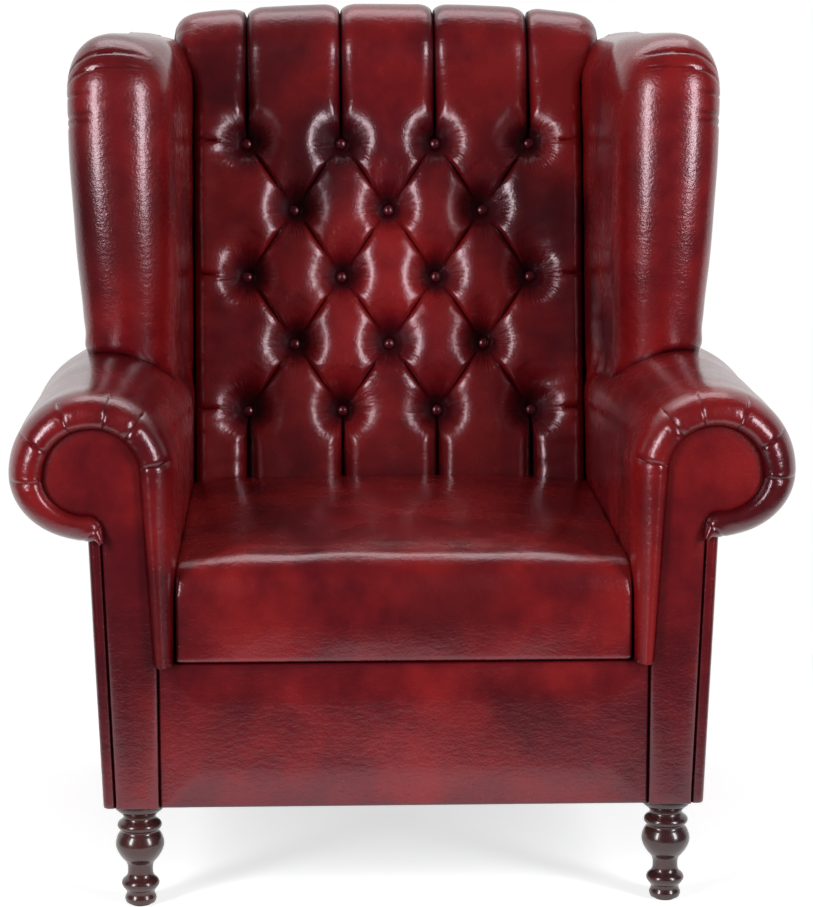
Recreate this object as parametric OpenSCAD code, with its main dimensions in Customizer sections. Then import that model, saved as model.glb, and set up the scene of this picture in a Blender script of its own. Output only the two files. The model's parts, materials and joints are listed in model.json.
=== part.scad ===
// A button-backed wing armchair with rolled arms, in the pieces it comes apart into.
// Origin: on the floor under the middle of the chair. +Z is up and the sitter faces -Y.

/* [Overall] */
// Width over the two arm rolls
overall_w = 900; // [880:5:930]
// Depth from the arm fronts to the rear of the back
overall_d = 820; // [810:5:850]
// Height to the top of the back
overall_h = 1035; // [1020:5:1060]

/* [Legs] */
// Height of the legs under the body
leg_h = 125; // [115:5:140]
// Largest radius of a turned front leg
leg_r = 28; // [26:1:30]
// Side of a rear leg's square top
rear_leg_top = 46; // [42:1:50]
// Side of a rear leg's square foot
rear_leg_foot = 32; // [30:1:38]
// Distance that the rear legs rake back
rear_leg_rake = 35; // [20:5:45]
// Radius of a floor glide
glide_r = 12; // [10:1:14]
// Thickness of a floor glide
glide_t = 3; // [2:1:5]
// Radius of a leg bolt
bolt_r = 4; // [3:0.5:5]
// Length of a leg bolt
bolt_l = 70; // [60:5:90]
// Outer radius of a threaded insert
insert_r = 6.5; // [6:0.5:8]
// Height of a threaded insert
insert_h = 20; // [16:2:26]

/* [Base] */
// Height of the front border under the seat
border_h = 172; // [160:2:180]
// Thickness of the front and back rails
rail_t = 28; // [24:1:32]
// Height of a corner block
block_h = 45; // [35:5:60]
// Reach of a corner block along each rail
block_reach = 70; // [60:5:80]
// Radius of a beech dowel
dowel_r = 4; // [3:0.5:5]
// Length of a beech dowel
dowel_l = 44; // [36:2:50]
// Thickness of the dust cover
dust_t = 1; // [0.8:0.1:1.2]
// Staples along one long side of the dust cover
staples_long = 9; // [6:1:12]

/* [Covers] */
// Thickness of a leather skin
leather_t = 2; // [1.5:0.1:2.5]
// Thickness of an outside panel, leather over card
skin_t = 5; // [4:0.5:6]
// Thickness of the leather with its wadding
cover_t = 9; // [7:0.5:11]

/* [Arms] */
// Height of the arm rolls
arm_h = 612; // [600:2:625]
// Width of an arm, roll to inside face
arm_w = 182; // [176:1:190]
// Radius of an arm roll
roll_r = 94; // [90:1:98]
// Depth of an arm roll below its centre
roll_low = 75; // [72:1:80]
// Radius of the scroll on the facing
facing_r = 57.5; // [54:0.5:60]
// Depth of the facing's scroll below its centre
facing_low = 42; // [40:1:46]
// Width of the facing's stem
facing_w = 50; // [46:1:54]
// Thickness of the facing's board
facing_board_t = 10; // [8:1:12]
// Thickness of the arm's inside pad beside the facing
pad_t = 17; // [15:1:20]
// Distance the pleated ring stands in front of the facing
ring_bulge = 15; // [10:1:18]
// Thickness of the front stump
stump_t = 45; // [40:1:50]
// Thickness of the ply panel inside an arm
arm_panel_t = 12; // [9:1:15]

/* [Seat] */
// Height of the seat's edge above the border
seat_edge_h = 118; // [108:2:126]
// Rise of the seat's crown over its edge
seat_crown = 30; // [20:2:40]
// Radius of the seat's rolled edge
seat_edge_r = 42; // [36:2:48]
// Drop of the seat's sides under its front edge
seat_side_drop = 18; // [10:1:22]
// Straps of webbing from front to back
straps_long = 5; // [4:1:6]
// Straps of webbing from side to side
straps_cross = 5; // [4:1:6]
// Width of a webbing strap
strap_w = 60; // [50:1:66]
// Thickness of a webbing strap
strap_t = 2; // [1.5:0.1:2.5]
// Thickness of the felt over the webbing
felt_t = 4; // [3:0.5:6]

/* [Back] */
// Lean of the inside back from upright, in degrees
rake = 11.3; // [10:0.1:12.5]
// Radius of the roll over the top of the back
back_roll_r = 57.5; // [54:0.5:62]
// Distance that the outside back leans to the rear
back_lean = 110; // [100:2:120]
// Distance from the outer buttons to the side of the back
tuft_side = 71; // [66:1:78]
// Height of the lowest buttons above the border, along the back
tuft_first = 205; // [195:1:212]
// Distance from the highest buttons to the roll over the top, along the back
tuft_headroom = 127; // [118:1:135]
// Depth of the tufts
tuft_depth = 40; // [34:1:44]
// Fullness of the channels at the top of the back
top_fullness = 15; // [12:1:18]
// Radius of a button
button_r = 8; // [7:0.5:10]
// Radius of the button twine
twine_r = 1.5; // [1:0.25:2]
// Thickness of the back foam
back_foam_t = 38; // [34:1:42]
// Thickness of the board that the buttons are tied to
tuft_board_t = 12; // [9:1:15]
// Thickness of a back post, across the chair
post_t = 28; // [24:1:32]
// Depth of a back post, front to rear
post_d = 50; // [44:1:56]
// Thickness of the ply cheeks that carry the tufting board
cheek_t = 12; // [9:1:15]

/* [Wings] */
// Drop of the wings below the top of the back
wing_drop = 30; // [24:2:36]
// Distance from the arm fronts to the wings
wing_setback = 330; // [315:5:345]
// Forward swell of a wing's front edge
wing_ear = 14; // [8:1:18]
// Radius of a wing's upper front corner
wing_corner_r = 78; // [70:1:84]
// Radius of a wing's padded edge
wing_round = 40; // [36:1:42]
// Outward flare of a wing's outside, in degrees
wing_flare = 6.2; // [5.6:0.1:6.6]
// Outward flare of a wing's inside, in degrees
wing_inner_flare = 12; // [11:0.5:13]
// Thickness of a wing's ply board
wing_board_t = 20; // [18:1:24]

/* [Hidden] */

// Clearance between two pieces that lie against each other
fit = 0.3;
// Overrun of a cutting shape past the face it cuts
over = 1;
// Smoothness of the true round surfaces
$fn = 64;

// Places along the depth and the height
front_y = -overall_d / 2;
rear_y = overall_d / 2;
face_y = front_y + ring_bulge;
facing_t = facing_board_t + leather_t;
frame_y = face_y + facing_t;
stump_rear_y = frame_y + stump_t;
border_top_z = leg_h + border_h;
rail_top_z = border_top_z - felt_t - 2 * strap_t;
wing_top_z = overall_h - wing_drop;

// Places across the width
seat_half = overall_w / 2 - arm_w;
roll_x = overall_w / 2 - roll_r;
roll_z = arm_h - roll_r;
facing_in_x = seat_half + pad_t;
facing_out_x = facing_in_x + facing_w;
body_half = facing_out_x + ring_bulge;
back_gap = 8;
back_half = seat_half - back_gap;
back_spread = 28;

// The inside back is a raked plane that rolls over the top
roll_axis_z = overall_h - top_fullness - back_roll_r;
rear_pad = 3;
roll_axis_y = rear_y - skin_t - rear_pad - fit - back_roll_r;
line_end = [roll_axis_y - back_roll_r * cos(rake), roll_axis_z + back_roll_r * sin(rake)];
back_line = (line_end[1] - border_top_z) / cos(rake);
lumbar_y = line_end[0] - back_line * sin(rake);
roll_turn = 165;
back_length = back_line + back_roll_r * roll_turn * PI / 180;

// Buttons stand in rows of four and of three by turns, evenly over the back
tuft_rows = 5;
tuft_row_long = 4;
tuft_x = 2 * (back_half - tuft_side) / (tuft_row_long - 1);
tuft_v = (back_line - tuft_first - tuft_headroom) / (tuft_rows - 1);

// The outside back is a straight leaning plane
panel_top_z = roll_axis_z;
back_foot_y = rear_y - back_lean;
back_slope = back_lean / (panel_top_z - leg_h);

// Legs stand under the stumps and under the rear corners of the frame
leg_x = facing_in_x + facing_w / 2;
leg_y = frame_y + stump_t / 2;
rear_leg_x = body_half - skin_t - rear_leg_top / 2;
rear_leg_y = back_foot_y - skin_t - rear_leg_top / 2;
post_out_x = body_half - skin_t - fit;
post_in_x = post_out_x - post_t;
arm_cap_t = 4;
arm_rear_y = post_front_y(roll_z - roll_r) - arm_cap_t - 2 * fit;

function mix(a, b, t) = a + (b - a) * t;
function clamp01(t) = max(0, min(1, t));
function smooth(t) = let (c = clamp01(t)) c * c * (3 - 2 * c);
function flip(list) = [for (i = [len(list) - 1:-1:0]) list[i]];

// Rear face of the outside back at a height
function out_y(z) = back_foot_y + (z - leg_h) * back_slope;
// Rear and front faces of the back posts at a height
function post_rear_y(z) = out_y(z) - skin_t - fit;
function post_front_y(z) = post_rear_y(z) - post_d;
// Plane of the tuft bottoms at a height
function pit_y(z) = lumbar_y + (z - border_top_z) * tan(rake);
// Outer face of the arm's lower wall at a height
neck_out = 6;
neck_z = roll_z - roll_low;
function wall_x(z) = mix(body_half, roll_x + neck_out, (z - leg_h) / (neck_z - leg_h));
// Inner and outer edges of the facing's stem at a height
function stem_in_x(z) = mix(facing_in_x, roll_x - facing_r, (z - leg_h) / (roll_z - leg_h));
function stem_out_x(z) = stem_in_x(z) + facing_w;

// Stands an outline drawn in the Y-Z plane along X, from x0 to x1
module along_x(x0, x1) {
    translate([x0, 0, 0]) rotate([90, 0, 90]) linear_extrude(x1 - x0) children();
}

// Stands an outline drawn in the X-Z plane along Y, from y0 to y1
module along_y(y0, y1) {
    translate([0, y1, 0]) rotate([90, 0, 0]) linear_extrude(y1 - y0) children();
}

module box(low, high) {
    translate(low) cube(high - low);
}

module left() {
    mirror([1, 0, 0]) children();
}

module both_sides() {
    children();
    left() children();
}

// A closed pad between a fine front grid and a coarser back grid with as many rows.
// Row by row, both run the same way, and slant(r, c) says which diagonal a front cell takes.
module pad(front, back, slant = function (r, c) (r + c) % 2 == 0) {
    rows = len(front);
    n = len(front[0]);
    k = len(back[0]);
    first = rows * n;
    function f(r, c) = r * n + c;
    function b(r, c) = first + r * k + c;
    function reach(i) = round((i + 0.5) * (k - 1) / (n - 1));
    function cell(p, q, s, t, rising) = rising ? [[p, q, s], [p, s, t]] : [[p, q, t], [q, s, t]];
    // Joins the front's end row to the back's end row
    function zip(r) = [
        for (i = [0:n - 2])
            each concat(
                [[f(r, i), f(r, i + 1), b(r, reach(i))]],
                i > 0 && reach(i) > reach(i - 1) ? [[f(r, i), b(r, reach(i)), b(r, reach(i - 1))]] : []
            )
    ];
    faces = concat(
        [for (r = [0:rows - 2], c = [0:n - 2])
            each cell(f(r, c), f(r + 1, c), f(r + 1, c + 1), f(r, c + 1), slant(r, c))],
        [for (r = [0:rows - 2], c = [0:k - 2])
            each cell(b(r, c), b(r, c + 1), b(r + 1, c + 1), b(r + 1, c), true)],
        zip(0),
        [for (t = zip(rows - 1)) flip(t)],
        [for (r = [0:rows - 2]) each cell(f(r, 0), b(r, 0), b(r + 1, 0), f(r + 1, 0), true)],
        [for (r = [0:rows - 2])
            each cell(f(r, n - 1), f(r + 1, n - 1), b(r + 1, k - 1), b(r, k - 1), true)]
    );
    polyhedron([each [for (row = front) each row], each [for (row = back) each row]], faces);
}

// Legs and what fixes them

// Heights and radii of the turned front leg, from the floor up, as shares of its height and radius
leg_turning_shares = [
    [0, 0.64], [0.055, 0.65], [0.075, 0.61], [0.115, 0.61], [0.15, 0.72], [0.185, 0.8], [0.22, 0.76],
    [0.255, 0.62], [0.325, 0.53], [0.4, 0.61], [0.45, 0.79], [0.52, 0.96], [0.57, 1], [0.62, 0.98],
    [0.68, 0.9], [0.715, 0.83], [0.74, 0.88], [0.765, 0.93], [0.8, 0.88], [0.83, 0.72], [0.87, 0.71],
    [0.9, 0.84], [0.93, 1.02], [1, 1.04]
];
module front_leg() {
    turned_h = leg_h - glide_t;
    color("#3a130c") translate([leg_x, leg_y, glide_t]) difference() {
        rotate_extrude() polygon(concat(
            [[0, 0]],
            [for (p = leg_turning_shares) [p[1] * leg_r, p[0] * turned_h]],
            [[0, turned_h]]
        ));
        translate([0, 0, turned_h - bolt_l / 2 - fit]) cylinder(bolt_l, r = bolt_r + fit);
    }
}
module front_leg_left() { left() front_leg(); }
module front_leg_right() { front_leg(); }

module rear_leg() {
    top = rear_leg_top / 2;
    foot = rear_leg_foot / 2;
    y = rear_leg_y;
    color("#3a130c") difference() {
        intersection() {
            along_x(rear_leg_x - rear_leg_top, rear_leg_x + rear_leg_top) polygon([
                [y - top, leg_h], [y + top, leg_h],
                [y + rear_leg_rake + foot, glide_t], [y + rear_leg_rake - foot, glide_t]
            ]);
            along_y(y - rear_leg_top, y + rear_leg_top + rear_leg_rake) polygon([
                [rear_leg_x - top, leg_h], [rear_leg_x + top, leg_h],
                [rear_leg_x + foot, glide_t], [rear_leg_x - foot, glide_t]
            ]);
        }
        translate([rear_bolt_x, y, leg_h - bolt_l / 2 - fit]) cylinder(bolt_l, r = bolt_r + fit);
    }
}
module rear_leg_left() { left() rear_leg(); }
module rear_leg_right() { rear_leg(); }
rear_bolt_x = (post_in_x + post_out_x) / 2;

module floor_glides() {
    color("#1c1a19") both_sides() {
        translate([leg_x, leg_y, 0]) cylinder(glide_t, r = glide_r);
        translate([rear_leg_x, rear_leg_y + rear_leg_rake, 0]) cylinder(glide_t, r = glide_r);
    }
}

module at_bolts() {
    both_sides() {
        translate([leg_x, leg_y, leg_h]) children();
        translate([rear_bolt_x, rear_leg_y, leg_h]) children();
    }
}

module leg_bolts() {
    color("#8d9096") at_bolts() translate([0, 0, -bolt_l / 2]) cylinder(bolt_l, r = bolt_r);
}

module threaded_inserts() {
    color("#b08d3c") at_bolts() difference() {
        cylinder(insert_h, r = insert_r);
        translate([0, 0, -over]) cylinder(insert_h + 2 * over, r = bolt_r + fit);
    }
}

// Room for the inserts and the bolts in the wood above a leg
module insert_bores() {
    at_bolts() translate([0, 0, -over]) {
        cylinder(insert_h + over + fit, r = insert_r + fit);
        cylinder(bolt_l / 2 + over + fit, r = bolt_r + fit);
    }
}

// Frame of the seat

rail_low_z = leg_h + dust_t;
side_rail_in_x = post_in_x - fit - rail_t;
back_rail_y = back_foot_y - skin_t - fit - rail_t;
stump_top_z = neck_z - fit;

// Dowels of the frame's corners, in pairs one above the other
dowel_drop_shares = [0.28, 0.72];
module at_dowels() {
    for (share = dowel_drop_shares) {
        z = mix(rail_low_z, rail_top_z, share);
        both_sides() {
            // Front rail to stump
            translate([facing_in_x, frame_y + rail_t / 2, z]) rotate([0, 90, 0]) children();
            // Side rail to stump
            translate([side_rail_in_x + rail_t / 2, stump_rear_y, z]) rotate([90, 0, 0]) children();
            // Side rail to the post beside it
            translate([post_in_x, post_front_y(z) + post_d / 2, z]) rotate([0, 90, 0]) children();
            // Side rail to back rail, clear of the dowels to the post
            translate([side_rail_in_x, back_rail_y + rail_t / 2, z + 3 * dowel_r])
                rotate([0, 90, 0]) children();
        }
    }
}
module frame_dowels() {
    color("#d9b27c") at_dowels() cylinder(dowel_l, r = dowel_r, center = true);
}
module dowel_bores() {
    at_dowels() cylinder(dowel_l + 2 * fit, r = dowel_r + fit, center = true);
}

module front_rail() {
    color("#c79a62") difference() {
        box(
            [-facing_in_x + fit, frame_y + fit, rail_low_z],
            [facing_in_x - fit, frame_y + rail_t, rail_top_z + strap_t]
        );
        dowel_bores();
    }
}
module back_rail() {
    color("#c79a62") difference() {
        box(
            [-side_rail_in_x + fit, back_rail_y, rail_low_z],
            [side_rail_in_x - fit, back_rail_y + rail_t, rail_top_z + strap_t]
        );
        dowel_bores();
    }
}
module side_rail() {
    color("#c79a62") difference() {
        box(
            [side_rail_in_x, stump_rear_y + fit, rail_low_z],
            [side_rail_in_x + rail_t, back_rail_y + rail_t, rail_top_z]
        );
        dowel_bores();
    }
}
module side_rail_left() { left() side_rail(); }
module side_rail_right() { side_rail(); }

module corner_blocks() {
    low = rail_low_z;
    color("#b8874f") both_sides() {
        translate([0, 0, low]) linear_extrude(block_h) polygon([
            [facing_in_x - fit, frame_y + rail_t + fit],
            [facing_in_x - fit, frame_y + rail_t + fit + block_reach],
            [facing_in_x - fit - block_reach, frame_y + rail_t + fit]
        ]);
        translate([0, 0, low]) linear_extrude(block_h) polygon([
            [side_rail_in_x - fit, back_rail_y - fit],
            [side_rail_in_x - fit - block_reach, back_rail_y - fit],
            [side_rail_in_x - fit, back_rail_y - fit - block_reach]
        ]);
    }
}

module webbing_crosswise() {
    reach = rail_t - fit;
    span = back_rail_y - stump_rear_y;
    color("#c9b99a") for (i = [0:straps_cross - 1]) {
        y = stump_rear_y + span * (i + 0.5) / straps_cross;
        box(
            [-side_rail_in_x - reach, y - strap_w / 2, rail_top_z],
            [side_rail_in_x + reach, y + strap_w / 2, rail_top_z + strap_t]
        );
    }
}

module webbing_lengthwise() {
    span = 2 * (side_rail_in_x - block_reach / 2);
    color("#c9b99a") for (i = [0:straps_long - 1]) {
        x = span * ((i + 0.5) / straps_long - 0.5);
        box(
            [x - strap_w / 2, frame_y + fit, rail_top_z + strap_t],
            [x + strap_w / 2, back_rail_y + rail_t, rail_top_z + 2 * strap_t]
        );
    }
}

module webbing_felt() {
    color("#8c8880") box(
        [-seat_foam_half, frame_y + fit, rail_top_z + 2 * strap_t],
        [seat_foam_half, back_rail_y + rail_t, border_top_z]
    );
}

// The dust cover closes the whole underside, cut back round the stumps and the rear legs
module dust_cover() {
    wide = post_out_x;
    front = facing_in_x - fit;
    rear = rear_leg_x - rear_leg_top / 2 - fit;
    rear_y0 = rear_leg_y - rear_leg_top / 2 - 2 * fit;
    y0 = frame_y + fit;
    y1 = stump_rear_y + fit;
    y2 = min(rear_y0, post_front_y(leg_h) - fit);
    y3 = back_rail_y + rail_t;
    color("#1e1d1f") translate([0, 0, leg_h]) linear_extrude(dust_t) polygon([
        [front, y0], [front, y1], [wide, y1], [wide, y2], [rear, y2], [rear, y3],
        [-rear, y3], [-rear, y2], [-wide, y2], [-wide, y1], [-front, y1], [-front, y0]
    ]);
}

staple_w = 12;
staple_t = 1;
module dust_cover_staples() {
    front = frame_y + rail_t / 2;
    rear = back_rail_y + rail_t / 2;
    color("#9aa0a6") for (i = [0:staples_long - 1]) {
        x = 2 * (side_rail_in_x - block_reach) * (i / (staples_long - 1) - 0.5);
        for (y = [front, rear])
            box(
                [x - staple_w / 2, y - staple_t / 2, leg_h - staple_t],
                [x + staple_w / 2, y + staple_t / 2, leg_h]
            );
    }
}

// Arms

// Counts of steps along the scroll's outline: inside face, over the top, and under
scroll_line_n = 4;
scroll_top_n = 20;
scroll_low_n = 7;

// The scroll of the leather roll and the scroll of the facing, each drawn inward by d.
// They have the same number of points and start low on the inside face.
function roll_scroll(d) = concat(
    [for (i = [0:scroll_line_n - 1]) let (t = i / scroll_line_n)
        [mix(seat_half, roll_x - roll_r, t) + d, mix(border_top_z, roll_z, t)]],
    [for (i = [0:scroll_top_n]) let (a = 180 - 180 * i / scroll_top_n)
        [roll_x + (roll_r - d) * cos(a), roll_z + (roll_r - d) * sin(a)]],
    [for (i = [1:scroll_low_n]) let (a = -90 * i / scroll_low_n)
        [roll_x + neck_out + (roll_r - neck_out - d) * cos(a), roll_z + (roll_low - d) * sin(a)]]
);
facing_neck_x = stem_out_x(roll_z - facing_low);
facing_hook = roll_x + facing_r - facing_neck_x;
function facing_scroll(d) = concat(
    [for (i = [0:scroll_line_n - 1]) let (z = mix(border_top_z, roll_z, i / scroll_line_n))
        [stem_in_x(z) + d, z]],
    [for (i = [0:scroll_top_n]) let (a = 180 - 180 * i / scroll_top_n)
        [roll_x + (facing_r - d) * cos(a), roll_z + (facing_r - d) * sin(a)]],
    [for (i = [1:scroll_low_n]) let (a = -90 * i / scroll_low_n)
        [facing_neck_x + (facing_hook - d) * cos(a), roll_z + (facing_low - d) * sin(a)]]
);

// The facing's whole outline, with its stem down to the bottom of the border
module facing_outline(d) {
    polygon(concat(
        [[stem_out_x(leg_h) - d, leg_h], [stem_in_x(leg_h) + d, leg_h]],
        facing_scroll(d)
    ));
}

module facing_cover() {
    color("#7c1018") along_y(face_y, face_y + leather_t) facing_outline(fit);
}
module facing_cover_left() { left() facing_cover(); }
module facing_cover_right() { facing_cover(); }

module facing_board() {
    color("#b8874f") along_y(face_y + leather_t, frame_y) facing_outline(fit);
}
module facing_board_left() { left() facing_board(); }
module facing_board_right() { facing_board(); }

// The front stump widens below the scroll to carry the outside arm
module front_stump() {
    color("#c79a62") difference() {
        along_y(frame_y, stump_rear_y) polygon(concat(
            [[wall_x(leg_h) - skin_t - fit, leg_h], [stem_in_x(leg_h) + fit, leg_h]],
            facing_scroll(fit),
            [[wall_x(stump_top_z) - skin_t - fit, stump_top_z]]
        ));
        dowel_bores();
        insert_bores();
    }
}
module front_stump_left() { left() front_stump(); }
module front_stump_right() { front_stump(); }

// The built-up log that runs back from the stump and shapes the roll
module arm_log() {
    color("#c79a62") along_y(stump_rear_y, arm_rear_y) polygon([
        for (i = [scroll_line_n:len(facing_scroll(0)) - 1]) facing_scroll(fit)[i]
    ]);
}
module arm_log_left() { left() arm_log(); }
module arm_log_right() { arm_log(); }

// The ply panel stands on the side rail and meets the log
module arm_panel() {
    in = stem_in_x(roll_z) + fit;
    out = in + arm_panel_t;
    top = roll_z - facing_low * (out - in) / facing_w - 2 * fit;
    color("#c9a270") box([in, stump_rear_y + fit, rail_top_z + strap_t], [out, arm_rear_y, top]);
}
module arm_panel_left() { left() arm_panel(); }
module arm_panel_right() { arm_panel(); }

// Foam between the log and the leather
sag = 3;
module arm_foam() {
    outer = roll_scroll(cover_t + sag);
    inner = facing_scroll(-4 * fit);
    // It stops a step short of the stump's shoulder
    log_side = [for (i = [0:len(inner) - 2]) inner[i]];
    color("#e8dca8") along_y(frame_y + fit, arm_rear_y) polygon(concat(outer, flip(log_side)));
}
module arm_foam_left() { left() arm_foam(); }
module arm_foam_right() { arm_foam(); }

// Places of the pleats round the scroll, as shares of the way along its outline
pleat_shares = [0.20, 0.29, 0.4, 0.5, 0.61, 0.72];
pleat_depth = 5;
pleat_width_share = 0.02;
function pleat(t) = max([for (p = pleat_shares) exp(-pow((t - p) / pleat_width_share, 2))]);

// Steps of the swell from the facing's edge to the roll, and places along the roll
ring_n = 6;
ring_start_share = 0.06;
arm_cover_low_n = 19;
arm_cover_runs_n = 3;
module arm_cover() {
    roll = roll_scroll(0);
    face = facing_scroll(0);
    under = roll_scroll(cover_t);
    n = len(roll);
    low = [for (j = [0:arm_cover_low_n - 1]) round(j * (n - 1) / (arm_cover_low_n - 1))];
    function swell(i, a) =
        let (
            fold = pleat(i / (n - 1)) * pleat_depth * sin(a),
            share = (1 - cos(a)) / 2,
            p = mix(face[i], roll[i], share)
        )
        [p[0], face_y - ring_bulge * sin(a) + fold, p[1]];
    turns = [for (k = [0:ring_n]) 180 * k / ring_n];
    runs = [mix(face_y, frame_y, 0.5), stump_rear_y, arm_rear_y];
    front = concat(
        [for (a = turns) [for (i = [0:n - 1]) swell(i, a)]],
        [for (y = runs) [for (p = roll) [p[0], y, p[1]]]]
    );
    // The ring is solid to the stump's front face, and the roll behind it is a shell
    back = concat(
        [for (a = turns) let (share = mix(ring_start_share, 1, (1 - cos(a)) / 2))
            [for (i = low) let (p = mix(face[i], under[i], share)) [p[0], frame_y, p[1]]]],
        [for (k = [1:arm_cover_runs_n]) let (y = mix(frame_y, arm_rear_y, k / arm_cover_runs_n))
            [for (i = low) [under[i][0], y, under[i][1]]]]
    );
    color("#86121b") pad(front, back);
}
module arm_cover_left() { left() arm_cover(); }
module arm_cover_right() { arm_cover(); }

// Closes the rear end of the roll, under the wing
module arm_rear_cap() {
    scroll = roll_scroll(0);
    color("#741019") along_y(arm_rear_y + fit, arm_rear_y + fit + arm_cap_t) polygon([
        for (i = [scroll_line_n:len(scroll) - 1]) scroll[i]
    ]);
}
module arm_rear_cap_left() { left() arm_rear_cap(); }
module arm_rear_cap_right() { arm_rear_cap(); }

// The outside arm is a flat panel under the roll that rises behind it to the wing
module outside_arm() {
    top = arm_h - fit;
    // It turns in to the facing's stem at the front
    color("#741019") along_y(face_y + leather_t, frame_y) polygon([
        [stem_out_x(leg_h) + fit, leg_h], [wall_x(leg_h), leg_h],
        [wall_x(neck_z - fit), neck_z - fit], [stem_out_x(neck_z) + fit, neck_z - fit]
    ]);
    color("#741019") intersection() {
        along_y(frame_y - over, rear_y) polygon([
            [wall_x(leg_h) - skin_t, leg_h], [wall_x(leg_h), leg_h],
            [wall_x(neck_z), neck_z], [wall_x(neck_z), top],
            [wall_x(neck_z) - skin_t, top], [wall_x(neck_z) - skin_t, neck_z]
        ]);
        along_x(seat_half, overall_w / 2) polygon([
            [frame_y - over, leg_h], [post_rear_y(leg_h), leg_h], [post_rear_y(top), top],
            [arm_rear_y + arm_cap_t + 2 * fit, top], [arm_rear_y + arm_cap_t + 2 * fit, neck_z - fit],
            [frame_y - over, neck_z - fit]
        ]);
    }
}
module outside_arm_left() { left() outside_arm(); }
module outside_arm_right() { outside_arm(); }

// Back

module back_post() {
    top = wing_board_top_z;
    color("#c79a62") difference() {
        along_x(post_in_x, post_out_x) polygon([
            [post_front_y(leg_h), leg_h], [post_rear_y(leg_h), leg_h],
            [post_rear_y(top), top], [post_front_y(top), top]
        ]);
        dowel_bores();
        insert_bores();
    }
}
module back_post_left() { left() back_post(); }
module back_post_right() { back_post(); }

// Layers of the back, measured square to the plane of the tuft bottoms
lining_t = 2 * leather_t;
foam_front = lining_t + fit;
board_front = foam_front + back_foam_t + fit;
board_rear = board_front + tuft_board_t;
// A place on the raked plane: v along it from the border's top, d behind it
function plane_point(v, d) = [
    lumbar_y + v * sin(rake) + d * cos(rake),
    border_top_z + v * cos(rake) - d * sin(rake)
];
// A line that lies d behind the raked plane, at a height
function plane_y(z, d) = pit_y(z) + d / cos(rake);
crest_r = back_roll_r - board_front;
crest_low_z = roll_axis_z - 2 * back_roll_r;

module crest_rail() {
    color("#c79a62") {
        along_x(-back_half, back_half) translate([roll_axis_y, roll_axis_z]) circle(crest_r);
        along_x(-post_in_x + fit, post_in_x - fit) translate([roll_axis_y - crest_r, crest_low_z])
            square([2 * crest_r, wing_board_top_z - crest_low_z]);
    }
}

// The board's top rear edge meets the front of the crest rail
tuft_board_top_z = border_top_z
    + (roll_axis_y - crest_r - fit - plane_y(border_top_z, board_rear)) / tan(rake);
module tufting_board() {
    low = border_top_z + fit;
    color("#c9a270") difference() {
        along_x(-back_half + fit, back_half - fit) polygon([
            [plane_y(low, board_front), low], [plane_y(low, board_rear), low],
            [plane_y(tuft_board_top_z, board_rear), tuft_board_top_z],
            [plane_y(tuft_board_top_z, board_front), tuft_board_top_z]
        ]);
        at_tufts() translate([0, 0, -board_rear - over]) cylinder(board_rear + over, r = twine_r + fit);
    }
}

// Upright cheeks carry the tufting board between the back rail and the crest rail
module back_cheek() {
    low = border_top_z + fit;
    top = crest_low_z - fit;
    front = board_rear + fit;
    color("#c9a270") along_x(back_half - cheek_t - fit, back_half - fit) polygon([
        [plane_y(low, front), low], [post_rear_y(low), low],
        [post_rear_y(top), top], [plane_y(top, front), top]
    ]);
}
module back_cheek_left() { left() back_cheek(); }
module back_cheek_right() { back_cheek(); }

module at_tufts() {
    for (row = [0:tuft_rows - 1]) {
        count = tuft_row_long - row % 2;
        p = plane_point(tuft_first + row * tuft_v, 0);
        for (i = [0:count - 1])
            translate([(i - (count - 1) / 2) * tuft_x, p[0], p[1]]) rotate([90 - rake, 0, 0]) children();
    }
}

button_rim_t = 2;
button_dome_t = 3;
button_ease = 1;
module tuft_buttons() {
    // A button rests where its rim meets the steepest walls of its pit
    steepest = tuft_depth * puff(1, 1) * tuft_steps * max(2 / tuft_x, 1 / tuft_v);
    seat = steepest * button_r + button_ease;
    color("#6c0e16") at_tufts() translate([0, 0, seat]) {
        cylinder(button_rim_t, r = button_r);
        translate([0, 0, button_rim_t]) cylinder(button_dome_t, r1 = button_r, r2 = button_r / 2);
    }
}

washer_r = 9;
washer_t = 2;
module tuft_twines() {
    top = -foam_front;
    low = -board_rear - fit - washer_t;
    color("#e6dfcc") at_tufts() translate([0, 0, low]) cylinder(top - low, r = twine_r);
}
module tuft_washers() {
    color("#8d9096") at_tufts() translate([0, 0, -board_rear - washer_t]) difference() {
        cylinder(washer_t, r = washer_r);
        translate([0, 0, -over]) cylinder(washer_t + 2 * over, r = twine_r + fit);
    }
}

roll_sag = 2;
module back_foam() {
    r1 = back_roll_r - foam_front - roll_sag;
    r2 = crest_r + fit;
    half = back_half - fit;
    low = border_top_z + fit;
    arc_n = 16;
    function ring(r) = [for (i = [0:arc_n]) let (a = 180 - rake - roll_turn * i / arc_n)
        [roll_axis_y + r * cos(a), roll_axis_z + r * sin(a)]];
    color("#e8dca8") difference() {
        along_x(-half, half) polygon(concat(
            [[plane_y(low, foam_front), low]],
            ring(r1), flip(ring(r2)),
            [[plane_y(low, foam_front + back_foam_t), low]]
        ));
        at_tufts() translate([0, 0, -board_front - over]) cylinder(board_front + over, r = twine_r + fit);
    }
}

// The back cover's grid: three steps to half a tuft each way, so that the pleats fall on the
// diagonals of its cells
tuft_steps = 3;
tuft_cols = 9;
edge_cols = 3;
low_rows = 6;
high_rows = 11;
back_half_cols = tuft_cols + edge_cols;
tuft_top = tuft_first + (tuft_rows - 1) * tuft_v;
tuft_row_steps = (tuft_rows - 1) * tuft_steps;
back_rows = low_rows + tuft_row_steps + high_rows;
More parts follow.
